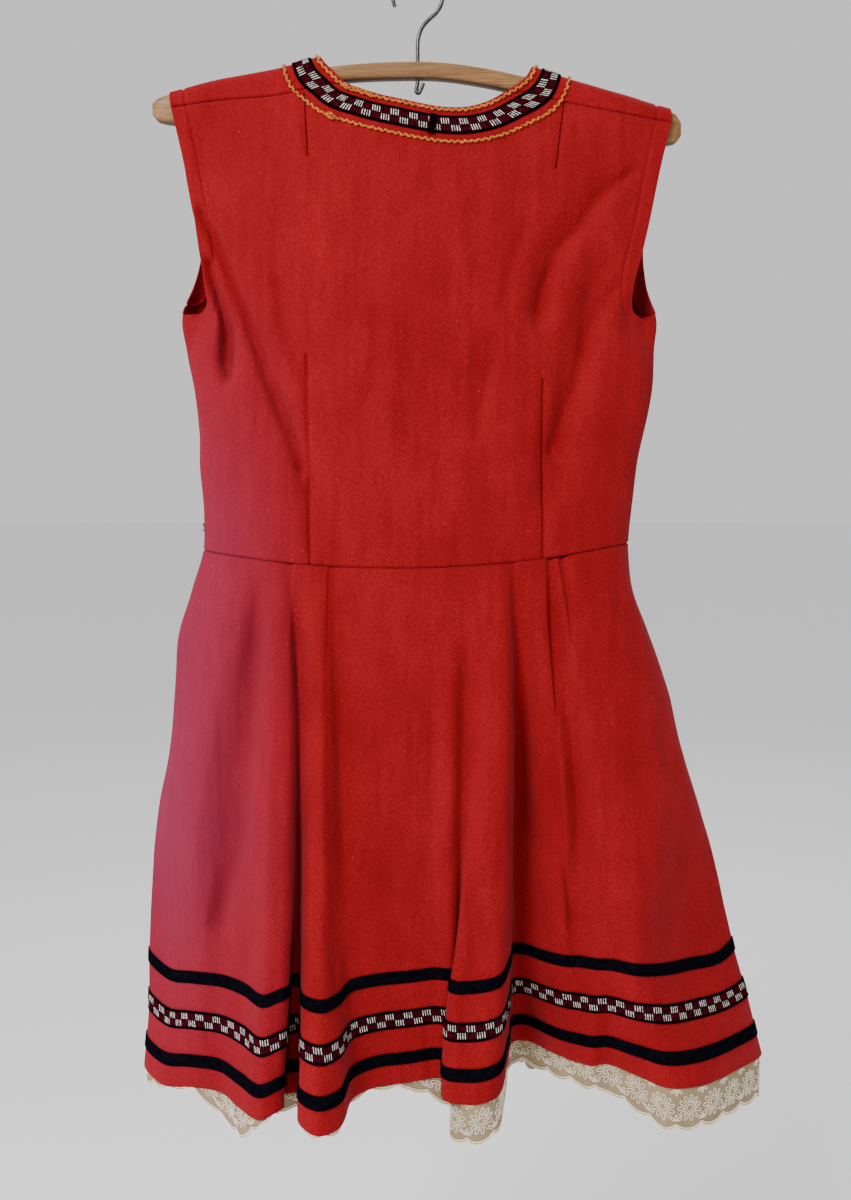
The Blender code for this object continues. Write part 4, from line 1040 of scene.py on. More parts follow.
def mesh_object(name, points, faces, material, cloth=None, ends=()):
    """A smooth mesh piece, with its flat ends and the places on its cloth where they are given."""
    mesh = bpy.data.meshes.new(name)
    around = [tuple(dict.fromkeys(face)) for face in faces.tolist()]
    mesh.from_pydata(points.tolist(), [], around + list(ends))
    if cloth is not None:
        layer = mesh.attributes.new(name="cloth", type="FLOAT_VECTOR", domain="POINT")
        layer.data.foreach_set("vector", np.asarray(cloth, dtype=np.float32).reshape(-1))
    mesh.update()
    mesh.shade_smooth()
    if ends:
        mesh.set_sharp_from_angle(angle=SHARP)
    mesh.materials.append(material)
    return in_scene(bpy.data.objects.new(name, mesh))


def in_scene(made):
    """The object, linked to the scene."""
    bpy.context.scene.collection.objects.link(made)
    return made


def sheet_shell(name, outer, faces, normals, thickness, material, cloth=None):
    """A thin closed sheet of cloth with rounded edges, from its outer surface inwards."""
    count = len(outer)
    edges, place, middle = rim_of(outer, faces, normals, thickness)
    points = np.vstack((outer, outer - normals * thickness, middle))
    a, b = edges.T
    rim_a, rim_b = 2 * count + place[a], 2 * count + place[b]
    faces = np.vstack((faces, faces[:, ::-1] + count, quads(b, a, rim_a, rim_b),
                       quads(rim_b, rim_a, a + count, b + count)))
    if cloth is not None:
        cloth = np.vstack((cloth, cloth, cloth[np.unique(edges)]))
    return mesh_object(name, points, faces, material, cloth)


def grid_shell(name, outer, normals, thickness, material, cloth=None):
    """The same sheet from rows and columns of points, with its distances along and up."""
    if cloth is not None:
        cloth = np.stack(np.broadcast_arrays(*cloth, 0.0), axis=-1).reshape(-1, 3)
    return sheet_shell(name, outer.reshape(-1, 3), grid_faces(*outer.shape[:2]),
                       normals.reshape(-1, 3), thickness, material, cloth)


def placed(piece, slot, *nodes):
    """The piece rides on the dress and stands for the named CAD nodes; its slot is not used."""
    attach(piece, "root")
    if nodes:
        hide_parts(*nodes)
    return piece


def bodice_panels(spans, ways, edge, wool):
    """The two wool panels of the bodice, sewn together at the shoulders and sides."""
    panels = (("back_bodice", back_bodice(spans, ways, edge), BACK_DARTS + BACK_SHARP_FOLDS),
              ("front_bodice", front_bodice(spans, ways, edge), FRONT_DARTS + FRONT_SHARP_FOLDS))
    zone = panels[0][1][1][1]
    seams = [np.vstack((TIP[side], zone[::SEAM_EVERY, at], zone[-1, at]))
             for side, at in ((-1, 0), (1, -1))]
    edges = armhole_paths()
    patches = []
    reliefs = []
    for _, ((lower, lower_relief), patterns), darts in panels:
        own = [lower] + [bodice_points(pattern) for pattern in patterns]
        own[1][0] = lower[-1]
        given = [lower_relief] + [pattern_relief(pattern, seams, edges) for pattern in patterns]
        patches += own
        reliefs += [relief + fold_depth(patch[..., 0], patch[..., 2], darts)
                    for patch, relief in zip(own, given)]
    points, faces, relief = weld(patches, reliefs)
    outer = points + point_normals(points, faces) * (wander(points) - relief)[:, None]
    outer = draw_armholes(open_placket(outer, points))
    turns = point_normals(outer, faces)
    back_count = sum((len(patch) - 1) * (patch.shape[1] - 1) for patch in patches[:3])
    made = []
    for (name, _, _), own in zip(panels, (faces[:back_count], faces[back_count:])):
        used, local = np.unique(own, return_inverse=True)
        piece = sheet_shell(name + "_wool", outer[used], local.reshape(own.shape), turns[used],
                            WOOL_THICK, wool)
        made.append(placed(piece, "red_wool", name))
    return made


def open_placket(outer, points):
    """The left side seam drawn in a little where the fastening gapes."""
    low, high = PLACKET
    share = np.clip((points[:, 2] - low) / (high - low), 0.0, 1.0)
    near = np.exp(-(points[:, 1] / PLACKET_REACH) ** 2) * (points[:, 0] < PLACKET_SIDE)
    moved = outer.copy()
    moved[:, 0] += PLACKET_DENT * np.sin(math.pi * share) * near
    return moved


def draw_armholes(outer):
    """The armhole edges of the back drawn in beside the underarms, where they hang open."""
    moved = outer.copy()
    behind = smooth(-outer[:, 1] / ARMHOLE_START)
    for x, z, shift_x, shift_z, reach in ARMHOLE_PULLS:
        near = np.exp(-((outer[:, 0] - x) ** 2 + (outer[:, 2] - z) ** 2) / reach ** 2) * behind
        moved[:, 0] += shift_x * near
        moved[:, 2] += shift_z * near
    return moved


def side_way(side):
    """The tables of a side seam, which follows the outline, as skirt_ways gives them."""
    top = WAIST[side]
    hem_z, lace = SEAM_HEM[side]
    across = tuple(((row[0] - top) / (hem_z - top), row[1 if side < 0 else 2]) for row in OUTLINE)
    return across, ((0.0, 0.0), (1.0, 0.0)), top, hem_z, abs(hem_z - top) / SIDE_RISE, lace


def skirt_ways():
    """For every fold line round the skirt: tables of x and depth, its top, hem, length, lace."""
    left, right = (float(read_table(OUTLINE, WAIST[side])[k]) for k, side in enumerate((-1, 1)))
    lines = []
    for side, table in ((1, BACK_SKIRT), (-1, FRONT_SKIRT)):
        lines.append(side_way(-side))
        for waist_x, mid_x, mid_depth, band_depth, hem_x, hem_depth, hem_z, lace in table:
            share = (waist_x - (left + right) / 2) / ((right - left) / 2)
            waist = lower_points(np.array(share), np.array(0.0), side)
            across = ((0.0, waist[0]), (MID_STATION, mid_x), (1.0, hem_x))
            depths = ((0.0, waist[1]), (MID_STATION, -side * mid_depth),
                      (BAND_STATION, -side * band_depth), (1.0, -side * hem_depth))
            hem = np.array((hem_x, -side * hem_depth, hem_z))
            lines.append((across, depths, waist[2], hem_z, norm(hem - waist), lace))
    return lines


def skirt_rings(heights, shares=()):
    """Closed rings of the skirt at heights above the hem, then at shares of what is above."""
    columns = []
    for across, depths, top, hem_z, length, _ in skirt_ways():
        t = np.concatenate((1 - np.asarray(heights) / length,
                            (1 - np.asarray(shares)) * (1 - BAND_TOP / length)))
        columns.append(np.column_stack((read_table(across, t)[:, 0], read_table(depths, t)[:, 0],
                                        top + (hem_z - top) * t)))
    return closed_up(closed_curves(np.stack(columns, axis=1), FOLD_SAMPLES))


def grid_normals(grid):
    """Outward directions of a grid whose columns close on themselves."""
    across = closed_up(ways_round(grid[:, :-1], 1))
    return unit(np.cross(across, np.gradient(grid, axis=0)))


def crease_depth(points, creases):
    """How deep pressed creases lie: steep on one side and soft on the other."""
    x, z = points[..., 0], points[..., 2]
    total = np.zeros(x.shape)
    for depth, left_width, right_width, path in creases:
        path = np.array(path)
        offset = x - np.interp(-z, -path[:, 1], path[:, 0])
        width = np.where(offset < 0, left_width, right_width)
        share = (path[0, 1] - z) / (path[0, 1] - path[-1, 1])
        total += groove(offset, depth, width) * (1 - smooth(share * CREASE_FADE - CREASE_FADE + 1))
    return total


def soft_relief(grid):
    """How deep the soft folds of the back lie in the skirt, less its slight unevenness."""
    total = -wander(grid)
    for fold in SOFT_FOLDS:
        start = smooth((fold[2][0][1] - grid[..., 2]) / SOFT_START + SOFT_AHEAD)
        total += fold_depth(grid[..., 0], grid[..., 2], (fold,)) * start * (grid[..., 1] < 0)
    return total


def skirt_panels(wool):
    """The two wool panels of the skirt, with their sewn waist and their creases."""
    above = spaced(SKIRT_UPPER, SKIRT_CELL, (SKIRT_UPPER,)) / SKIRT_UPPER
    grid = skirt_rings(np.arange(0.0, BAND_TOP, SKIRT_CELL), above)
    turn = (len(BACK_SKIRT) + 1) * FOLD_SAMPLES
    parts = (("back_skirt", slice(0, turn + 1), BACK_CREASES),
             ("front_skirt", slice(turn, None), FRONT_CREASES))
    relief = np.zeros(grid.shape[:2])
    for _, part, creases in parts:
        relief[:, part] += crease_depth(grid[:, part], creases)
    waist = grid[-1:, :, 2] - grid[..., 2]
    relief += groove(waist, *SEAM) * (waist < WAIST_NEAR)
    outer = grid - grid_normals(grid) * (relief + soft_relief(grid))[..., None]
    turns = grid_normals(outer)
    return [placed(grid_shell(name + "_wool", outer[:, part], turns[:, part], WOOL_THICK, wool),
                   "red_wool", name) for name, part, _ in parts]


def ribbon_on(name, grid, normals, cloth, material, thickness=TRIM_THICK, lift=LIFT):
    """A ribbon that lies on the cloth: a closed strip with rounded edges."""
    outer = grid + normals * (lift + thickness)
    return grid_shell(name + "_cloth", outer, normals, thickness, material, cloth)


def places_along(grid):
    """Distance along the middle row of a grid, for each of its columns."""
    return distances(grid[len(grid) // 2])


def hem_bands(materials):
    """The two velvet ribbons and the woven ribbon above the hem."""
    made = []
    for name, slot, low, high in HEM_BANDS:
        heights = np.linspace(low, high, BAND_ROWS + 1)
        grid = skirt_rings(heights)
        normals = grid_normals(grid)
        grid = grid - normals * soft_relief(grid)[..., None]
        cloth = (places_along(grid), (heights - low)[:, None])
        made.append(placed(ribbon_on(name, grid, normals, cloth, materials[slot]), slot, name))
    return made


def bodice_frames(pattern):
    """Points and outward directions of the bodice at pattern points."""
    step = np.array((PATTERN_STEP, 0.0))
    down = np.array((0.0, PATTERN_STEP))
    across = bodice_points(pattern + step) - bodice_points(pattern - step)
    along_run = bodice_points(pattern + down) - bodice_points(pattern - down)
    normals = unit(np.cross(along_run, across))
    points = bodice_points(pattern)
    return points + normals * wander(points)[..., None], normals


def neck_ring(spans, ways, edge, offset):
    """Pattern points all round the neck at a distance from its edge."""
    ring = np.vstack([out_from(span, way, offset, edge)[:-1] for span, way in zip(spans, ways)])
    start = int(np.argmin(norm(ring - NECK_JOIN, axis=1)))
    ring = np.roll(ring, -start, axis=0)
    return np.vstack((ring, ring[:1]))


def neck_band(neck, ribbon):
    """The woven ribbon round the neck."""
    offsets = np.linspace(RIBBON[1], RIBBON[0], BAND_ROWS + 1)
    grid, normals = bodice_frames(np.array([neck_ring(*neck, offset) for offset in offsets]))
    cloth = (places_along(grid), (offsets[0] - offsets)[:, None])
    return placed(ribbon_on("neck_ribbon", grid, normals, cloth, ribbon), "woven_ribbon", "neck_ribbon")


def ribbon_end(neck):
    """The inner corner of the ribbon's end, the way along the ribbon and the way across."""
    inner, outer = (neck_ring(*neck, offset) for offset in RIBBON)
    return inner[0], unit(inner[1] - inner[-2]), unit(outer[0] - inner[0])


def ribbon_join(corner, along_ribbon, across, ribbon):
    """The folded end of the neck ribbon, on top of the ribbon at the centre back."""
    down = np.linspace(RIBBON[1] - RIBBON[0] + JOIN_BELOW, -LIFT, 2 * BAND_ROWS + 1)
    aside = np.linspace(-JOIN_HALF, JOIN_HALF, JOIN_POINTS)
    pattern = corner + along_ribbon * aside[:, None] + across * down[:, None, None]
    grid, normals = bodice_frames(pattern)
    crown = np.sqrt(1 - (JOIN_CROWN * aside / JOIN_HALF) ** 2) * TRIM_THICK
    cloth = (np.zeros(grid.shape[:2]), OFF_BARS)
    return placed(ribbon_on("neck_ribbon_join", grid + normals * crown[:, None], normals, cloth,
                            ribbon, TRIM_THICK / 2, LIFT + TRIM_THICK), "woven_ribbon")


def ribbon_threads(corner, along_ribbon, across, ribbon):
    """Loose threads of the ribbon's frayed end."""
    thread = np.arange(JOIN_THREADS)[:, None]
    share = np.linspace(0.0, 1.0, JOIN_STEPS)
    aside = JOIN_SPREAD * (2.0 * thread / (JOIN_THREADS - 1) - 1.0)
    height, on_thread, from_thread = JOIN_WAVE
    aside = aside + height * np.sin(on_thread * share + from_thread * thread)
    fray, usual, swing, turn = JOIN_FRAY
    reach = RIBBON[1] - RIBBON[0] + JOIN_BELOW + fray * (usual + swing * np.sin(turn * thread))
    down = JOIN_TOP + (reach - JOIN_TOP) * share
    base, normals = bodice_frames(corner + along_ribbon * aside[..., None] + across * down[..., None])
    paths = base + normals * (LIFT + JOIN_LIFT * TRIM_THICK + JOIN_THREAD)
    points, faces = strands(paths, normals, JOIN_THREAD, THREAD_SIDES)
    cloth = np.zeros(points.shape)
    cloth[:, 1] = OFF_BARS
    return placed(mesh_object("neck_ribbon_threads", points, faces, ribbon, cloth), "woven_ribbon")


def strands(paths, ups, radius, sides, closed=False):
    """Points and faces of round threads along paths of the same number of points."""
    paths = np.asarray(paths)
    ways = unit(ways_round(paths, 1) if closed else np.gradient(paths, axis=1))
    aside = unit(np.cross(ways, ups))
    above = np.cross(aside, ways)
    rings = []
    for k in range(sides):
        angle = 2 * math.pi * k / sides
        rings.append(paths + radius * (aside * math.cos(angle) + above * math.sin(angle)))
    index = np.arange(paths.shape[0] * paths.shape[1] * sides).reshape(*paths.shape[:2], sides)
    if closed:
        index = closed_up(index)
    ahead = np.roll(index, -1, axis=2)
    faces = quads(index[:, :-1], ahead[:, :-1], ahead[:, 1:], index[:, 1:])
    return np.stack(rings, axis=2).reshape(-1, 3), faces


def braid(node, ring, knots, gold):
    """A wavy twisted cord sewn down along a closed ring of pattern points."""
    arc = distances(bodice_frames(ring)[0])
    count = round(arc[-1] / BRAID_WAVE) * BRAID_STEPS
    at = np.arange(count) * arc[-1] / count
    middle = np.column_stack([np.interp(at, arc, ring[:, k]) for k in (0, 1)])
    way = unit(ways_round(middle, 0))
    aside = np.column_stack((way[:, 1], -way[:, 0]))
    turn = 2 * math.pi * np.arange(count) / BRAID_STEPS
    usual, swing, fast, slow = BRAID_UNEVEN
    uneven = usual + swing * np.sin(fast * turn) * np.sin(slow * turn + 1.0)
    sway = BRAID_SWAY * uneven * np.sin(turn)
    parts = []
    for strand in (0.0, math.pi):
        twist = turn + strand
        across = sway + BRAID_STRAND * BRAID_TWIST * np.cos(twist)
        lift = LIFT + BRAID_STRAND * (BRAID_LIFT + BRAID_TWIST * np.sin(twist))
        parts.append(sewn_cord(middle + aside * across[:, None], lift, BRAID_STRAND))
    parts += [knot(ring, *row) for row in knots]
    return placed(mesh_object(node + "_cord", *joined(parts), gold), "gold_braid", node)


def sewn_cord(pattern, lift, radius):
    """A closed round cord at a height above pattern points."""
    base, normals = bodice_frames(pattern)
    return strands([base + normals * lift[:, None]], [normals], radius, BRAID_SIDES, closed=True)


def knot(ring, x, z, half_length, half_width, lean):
    """A small loose loop of the cord on the braid's line."""
    nearest = int(np.argmin(norm(ring - in_pattern(x, z), axis=1)))
    way = unit(ring[nearest + 1] - ring[nearest - 1])
    way = np.array((way[0] * math.cos(lean) - way[1] * math.sin(lean),
                    way[0] * math.sin(lean) + way[1] * math.cos(lean)))
    aside = np.array((way[1], -way[0]))
    turn = circle(KNOT_STEPS)
    pattern = (ring[nearest] + way * (half_length * np.cos(turn))[:, None]
               + aside * (half_width * np.sin(turn))[:, None])
    lift = LIFT + BRAID_STRAND * (KNOT_LIFT + 0.5 * np.sin(turn + lean))
    return sewn_cord(pattern, lift, BRAID_STRAND * KNOT_THIN)


def circle(steps):
    """Angles of one turn."""
    return np.linspace(0.0, 2 * math.pi, steps, endpoint=False)


class Lace:
    """The surface of the lace behind the hem, in distance along it and height on it."""

    def __init__(self):
        self.heights = np.arange(0.0, LACE_BEHIND, LACE_ROW)
        self.grid = skirt_rings(self.heights)
        self.normals = grid_normals(self.grid)
        self.arc = distances(self.grid[0])
        self.length = self.arc[-1]
        self.count = round(self.length / LACE_PERIOD)
        self.period = self.length / self.count
        lace = [line[5] for line in skirt_ways()]
        lines_at = np.arange(len(lace) + 1) * FOLD_SAMPLES
        self.drops = np.interp(np.arange(len(self.arc)), lines_at, lace + lace[:1])

    def frames(self, along_hem, up, lift=0.0):
        """Points and outward directions at places along the lace and heights on it."""
        columns = np.arange(len(self.arc))
        place = np.interp(np.mod(along_hem, self.length), self.arc, columns)
        low = np.minimum(place.astype(int), len(self.arc) - 2)
        share = (place - low)[..., None]
        height = up - np.interp(place, columns, self.drops)
        row = np.clip(height / LACE_ROW, 0.0, len(self.heights) - 1.001)
        under = row.astype(int)
        part = (row - under)[..., None]

        def read(grid):
            below, above = (grid[k, low] * (1 - share) + grid[k, low + 1] * share
                            for k in (under, under + 1))
            return below * (1 - part) + above * part

        normals = unit(read(self.normals))
        points = read(self.grid) - normals * (WOOL_THICK + LACE_GAP - lift)
        points[..., 2] += np.minimum(height, 0.0)
        return points, normals

    def scallop(self, along_hem):
        """Height of the lace's lower edge above its lowest points."""
        return SCALLOP * (1 - np.abs(np.sin(math.pi * along_hem / self.period)) ** SCALLOP_POWER)


def lace_net(lace, net):
    """The fine net ground with its scalloped edge."""
    along_hem = np.linspace(0.0, lace.length, round(lace.length / LACE_CELL) + 1)
    low = lace.scallop(along_hem)
    up = low + (LACE_HEIGHT - low) * np.linspace(0.0, 1.0, LACE_NET_ROWS + 1)[:, None]
    grid, normals = lace.frames(np.broadcast_to(along_hem, up.shape), up)
    piece = grid_shell("lace_net", grid, normals, LACE_THICK, net, (along_hem, up))
    return placed(piece, "lace", "hem_lace")


def loops(angles, near, far, wide):
    """Closed loops that run out from a point at some angles, as distances along and up."""
    turn = circle(LOOP_STEPS)
    out = (near + far) / 2 - (far - near) / 2 * np.cos(turn)
    base, wider = LOOP_TAPER
    aside = wide * np.sin(turn) * (base + wider * (out - near) / (far - near))
    angles = np.radians(angles)[:, None]
    return out * np.sin(angles) + aside * np.cos(angles), out * np.cos(angles) - aside * np.sin(angles)


def lace_flowers(lace, thread):
    """Daisies, small leaves and satin edges embroidered on the net."""
    places = np.arange(lace.count) * lace.period
    middles = places + lace.period / 2
    petals = loops(360.0 * (np.arange(PETALS) + 0.25) / PETALS, *PETAL)
    turn = circle(LOOP_STEPS)
    ring = (FLOWER_RING * np.cos(turn)[None], FLOWER_RING * np.sin(turn)[None])
    shapes = [(middles, FLOWER_UP, petals), (middles, FLOWER_UP, ring)]
    for up, turned in zip(LEAVES_UP, (0.0, 180.0)):
        shapes.append((places, up, loops(np.array(LEAVES) + turned, *LEAF)))
    parts = []
    for at, up, (across, upward) in shapes:
        here = at[:, None, None] + across
        high = np.broadcast_to(up + upward, here.shape)
        paths, normals = lace.frames(here.reshape(-1, LOOP_STEPS), high.reshape(-1, LOOP_STEPS), THREAD)
        parts.append(strands(paths, normals, THREAD, THREAD_SIDES, closed=True))
    edge = np.linspace(0.0, lace.length, round(lace.length / LACE_EDGE_STEP), endpoint=False)
    for rise in EDGE_LINES:
        paths, normals = lace.frames(edge[None], (lace.scallop(edge) + rise)[None], THREAD)
        parts.append(strands(paths, normals, EDGE_THREAD, THREAD_SIDES, closed=True))
    return placed(mesh_object("lace_embroidery", *joined(parts), thread), "lace")


def wire(node, path, ups, radius, sides, steel):
    """A piece of round wire with closed ends."""
    points, faces = strands([path], [np.tile(ups, (len(path), 1))], radius, sides)
    ends = [tuple(range(sides)), tuple(range(len(points) - sides, len(points)))[::-1]]
    return placed(mesh_object(node + "_wire", points, faces, steel, ends=ends), "steel_wire", node)


def hanger_wire(steel):
    """The hook of the hanger, with its bent foot under the bar."""
    ring = HOOK_INSIDE + HOOK_RADIUS
    turn = np.linspace(*np.radians(HOOK_SWEEP), HOOK_STEPS + 1)
    loop = np.column_stack((ring * np.cos(turn), ring * np.sin(turn) - HOOK_INSIDE))
    bends = np.vstack((HOOK_FOOT, loop[0]))
    arc = distances(bends)
    places = np.linspace(0.0, arc[-1], round(arc[-1] / HOOK_STEP))
    foot = read_table(np.column_stack((arc, bends)).tolist(), places)
    x, z = np.vstack((foot[:-1], loop)).T
    path = np.column_stack((x, np.zeros(len(x)), z))
    return wire("hanger_hook", path, (0.0, 1.0, 0.0), HOOK_RADIUS, HOOK_SIDES, steel)


def side_hook(steel):
    """The small wire hook over the side opening."""
    x = float(read_table(OUTLINE, SIDE_HOOK_Z)[0]) - LIFT - SIDE_HOOK_WIRE
    half_height, half_width = SIDE_HOOK_LOOP
    turn = np.linspace(*np.radians(SIDE_HOOK_SWEEP), SIDE_HOOK_STEPS)
    path = np.column_stack((np.full(SIDE_HOOK_STEPS, x), half_width * np.cos(turn),
                            SIDE_HOOK_Z + half_height * np.sin(turn)))
    return wire("side_hook", path, (1.0, 0.0, 0.0), SIDE_HOOK_WIRE, SIDE_HOOK_SIDES, steel)


def bar_section(x, top, bottom, half):
    """A section of the bar with rounded corners."""
    corner = min(BAR_CORNER, half * BAR_ROUND, (top - bottom) / 2 * BAR_ROUND)
    section = []
    for quarter, (y_sign, upper) in enumerate(((1, True), (-1, True), (-1, False), (1, False))):
        y = y_sign * (half - corner)
        z = top - corner if upper else bottom + corner
        for step in range(BAR_CORNER_STEPS + 1):
            angle = math.radians(90 * quarter + 90 * step / BAR_CORNER_STEPS)
            section.append((x, y + corner * math.cos(angle), z + corner * math.sin(angle)))
    return section


def hanger_bar(wood):
    """The wooden bar, lofted through its sections."""
    reach = BAR[-1][0] - BAR[0][0]
    places = BAR[0][0] + spaced(reach, BAR_CELL, (0.0, reach))
    sections = [bar_section(x, *row) for x, row in zip(places, read_table(BAR, places))]
    points = np.array(sections).reshape(-1, 3)
    index = np.arange(len(points)).reshape(len(places), -1)
    ahead = np.roll(index, -1, axis=1)
    faces = quads(index[:-1], ahead[:-1], ahead[1:], index[1:])
    ends = [index[0].tolist()[::-1], index[-1].tolist()]
    return placed(mesh_object("hanger_bar_wood", points, faces, wood, ends=ends), "hanger_wood",
                  "hanger_bar")


class Nodes:
    """A material's nodes, added and linked one after the other."""

    def __init__(self, name, **constants):
        """A material with constants on its shader, named with low lines for spaces."""
        self.material = bpy.data.materials.new(name)
        self.material.use_nodes = True
        self.tree = self.material.node_tree
        self.shader = self.tree.nodes["Principled BSDF"]
        for key, value in constants.items():
            self.shader.inputs[key.replace("_", " ")].default_value = value

    def put(self, socket, value):
        """A constant or a link on a socket."""
        if isinstance(value, bpy.types.NodeSocket):
            self.tree.links.new(value, socket)
        else:
            socket.default_value = value

    def add(self, kind, inputs=None, **properties):
        """A node with its properties, and its inputs as constants or links."""
        node = self.tree.nodes.new(kind)
        for name, value in properties.items():
            setattr(node, name, value)
        for name, value in (inputs or {}).items():
            self.put(node.inputs[name], value)
        return node

    def noise(self, place, scale, detail=2.0, roughness=0.5):
        """The value of a noise texture at a place."""
        inputs = {"Vector": place, "Scale": scale, "Detail": detail, "Roughness": roughness}
        return self.add("ShaderNodeTexNoise", inputs).outputs[0]

    def math(self, operation, first, second=0.0):
        """The result of an operation on one or two values."""
        return self.add("ShaderNodeMath", {0: first, 1: second}, operation=operation).outputs[0]

    def plus(self, first, second):
        """The sum of two values."""
        return self.math("ADD", first, second)

    def times(self, first, *others):
        """The product of some values."""
        for other in others:
            first = self.math("MULTIPLY", first, other)
        return first

    def from_line(self, value, middle):
        """How far a value is from another."""
        return self.math("ABSOLUTE", self.math("SUBTRACT", value, middle))

    def ramp(self, value, low, high, low_out=0.0, high_out=1.0):
        """A value mapped from one range to another, held at the ends."""
        inputs = {"Value": value, "From Min": low, "From Max": high, "To Min": low_out,
                  "To Max": high_out}
        return self.add("ShaderNodeMapRange", inputs).outputs[0]

    def mix(self, share, first, second):
        """A colour between two colours."""
        node = self.add("ShaderNodeMix", data_type="RGBA")
        self.put(node.inputs[0], share)
        for socket, colour in ((node.inputs[6], first), (node.inputs[7], second)):
            self.put(socket, (*colour, 1.0) if isinstance(colour, tuple) else colour)
        return node.outputs[2]

    def patchy(self, place, scale, colours, detail=2.0, low=0.3, high=0.7):
        """A colour that wanders between two colours."""
        return self.mix(self.ramp(self.noise(place, scale, detail), low, high), *colours)

    def base(self, colour):
        """The colour of the surface."""
        self.put(self.shader.inputs["Base Color"], colour)

    def bump(self, height, distance, strength=1.0, under=None):
        """Relief on the surface, on top of another relief where one is given."""
        inputs = {"Height": height, "Distance": distance, "Strength": strength}
        if under is not None:
            inputs["Normal"] = under
        node = self.add("ShaderNodeBump", inputs)
        self.put(self.shader.inputs["Normal"], node.outputs[0])
        return node.outputs[0]

    def parts(self, vector):
        """The three parts of a place."""
        return tuple(self.add("ShaderNodeSeparateXYZ", {0: vector}).outputs)

    def stretched(self, place, scale):
        """A place scaled along each axis."""
        return self.add("ShaderNodeMapping", {"Vector": place, "Scale": scale}).outputs[0]

    def line(self, x, z, path, half_width):
        """1 on a straight line between two (x, z) places, fading out to its half width."""
        (x0, z0), (x1, z1) = path
        middle = self.ramp(self.ramp(z, z0, z1), 0.0, 1.0, x0, x1)
        near = self.ramp(self.from_line(x, middle), half_width * LINE_CORE, half_width, 1.0, 0.0)
        inside = self.times(self.math("LESS_THAN", z, z0), self.math("GREATER_THAN", z, z1))
        return self.times(near, inside)

    def place(self):
        """Places on the object, in metres."""
        return self.add("ShaderNodeTexCoord").outputs["Object"]

    def cloth(self):
        """Places on the cloth in metres, and their distances along and across it."""
        vector = self.add("ShaderNodeAttribute", attribute_name="cloth").outputs["Vector"]
        return (vector, *self.parts(vector)[:2])


def wool_material():
    """Felted red wool: matt, soft and mottled, with a painted magenta haze of light on the left of the
    back, painted shade along the shoulder darts and a few pale bits of lint.
    """
    nodes = Nodes("red_wool", Roughness=0.95, Sheen_Weight=0.05, Sheen_Roughness=0.5,
                  Specular_IOR_Level=0.05, Sheen_Tint=(1.0, 0.50, 0.60, 1.0))
    place = nodes.place()
    streak = nodes.noise(nodes.stretched(place, (48.0, 48.0, 20.0)), 1.0, 3.0, 0.6)
    broad = nodes.noise(place, 8.0, 2.0)
    fine = nodes.ramp(nodes.noise(place, 600.0, 3.0, 0.7), 0.36, 0.64)
    shade = nodes.plus(nodes.times(streak, 0.5), nodes.times(broad, 0.5))
    colour = nodes.mix(nodes.ramp(shade, 0.28, 0.72), WOOL_DARK, WOOL_LIGHT)
    colour = nodes.mix(nodes.times(fine, 0.55), colour, WOOL_GRAIN)
    x, y, z = nodes.parts(place)
    behind = nodes.ramp(y, *BACK_HALF, 1.0, 0.0)
    # Painted magenta haze of light over the left of the back, in the base colour
    beside = nodes.times(nodes.ramp(x, *HAZE_SIDE, 1.0, 0.0), behind)
    level = nodes.times(nodes.ramp(z, *HAZE_RISES), nodes.ramp(z, *HAZE_FALLS, 1.0, 0.0))
    colour = nodes.mix(nodes.times(beside, level, HAZE_SHARE), colour, HAZE_COLOUR)
    # Painted shade along the sewn lines of the shoulder darts, on the back
    for dart in SHOULDER_DARTS:
        line = nodes.times(nodes.line(x, z, dart, DART_LINE), behind)
        colour = nodes.mix(nodes.times(line, 0.85), colour, DART_SHADE)
    lint = nodes.ramp(nodes.noise(place, 520.0, 0.0), 0.845, 0.870, 0.0, 0.20)
    nodes.base(nodes.mix(lint, colour, LINT))
    hang = nodes.stretched(place, (40.0, 40.0, 6.0))
    wrinkles = nodes.bump(nodes.noise(hang, 1.0, 2.0, 0.55), 0.0070, 0.8)
    nap = nodes.plus(nodes.noise(place, 900.0, 3.0, 0.7), nodes.noise(place, 260.0, 3.0, 0.6))
    nodes.bump(nap, 0.0008, 0.8, wrinkles)
    return nodes.material


def velvet_material():
    """Black velvet ribbon: very deep, with a little light along its folds."""
    nodes = Nodes("black_velvet", Roughness=0.95, Sheen_Weight=0.04, Sheen_Roughness=0.3,
                  Specular_IOR_Level=0.0, Sheen_Tint=(0.40, 0.42, 0.55, 1.0))
    vector = nodes.cloth()[0]
    nodes.base(nodes.patchy(vector, 220.0, VELVET_COLOURS))
    nodes.bump(nodes.noise(vector, 1500.0, 1.0), 0.0002, 0.4)
    return nodes.material


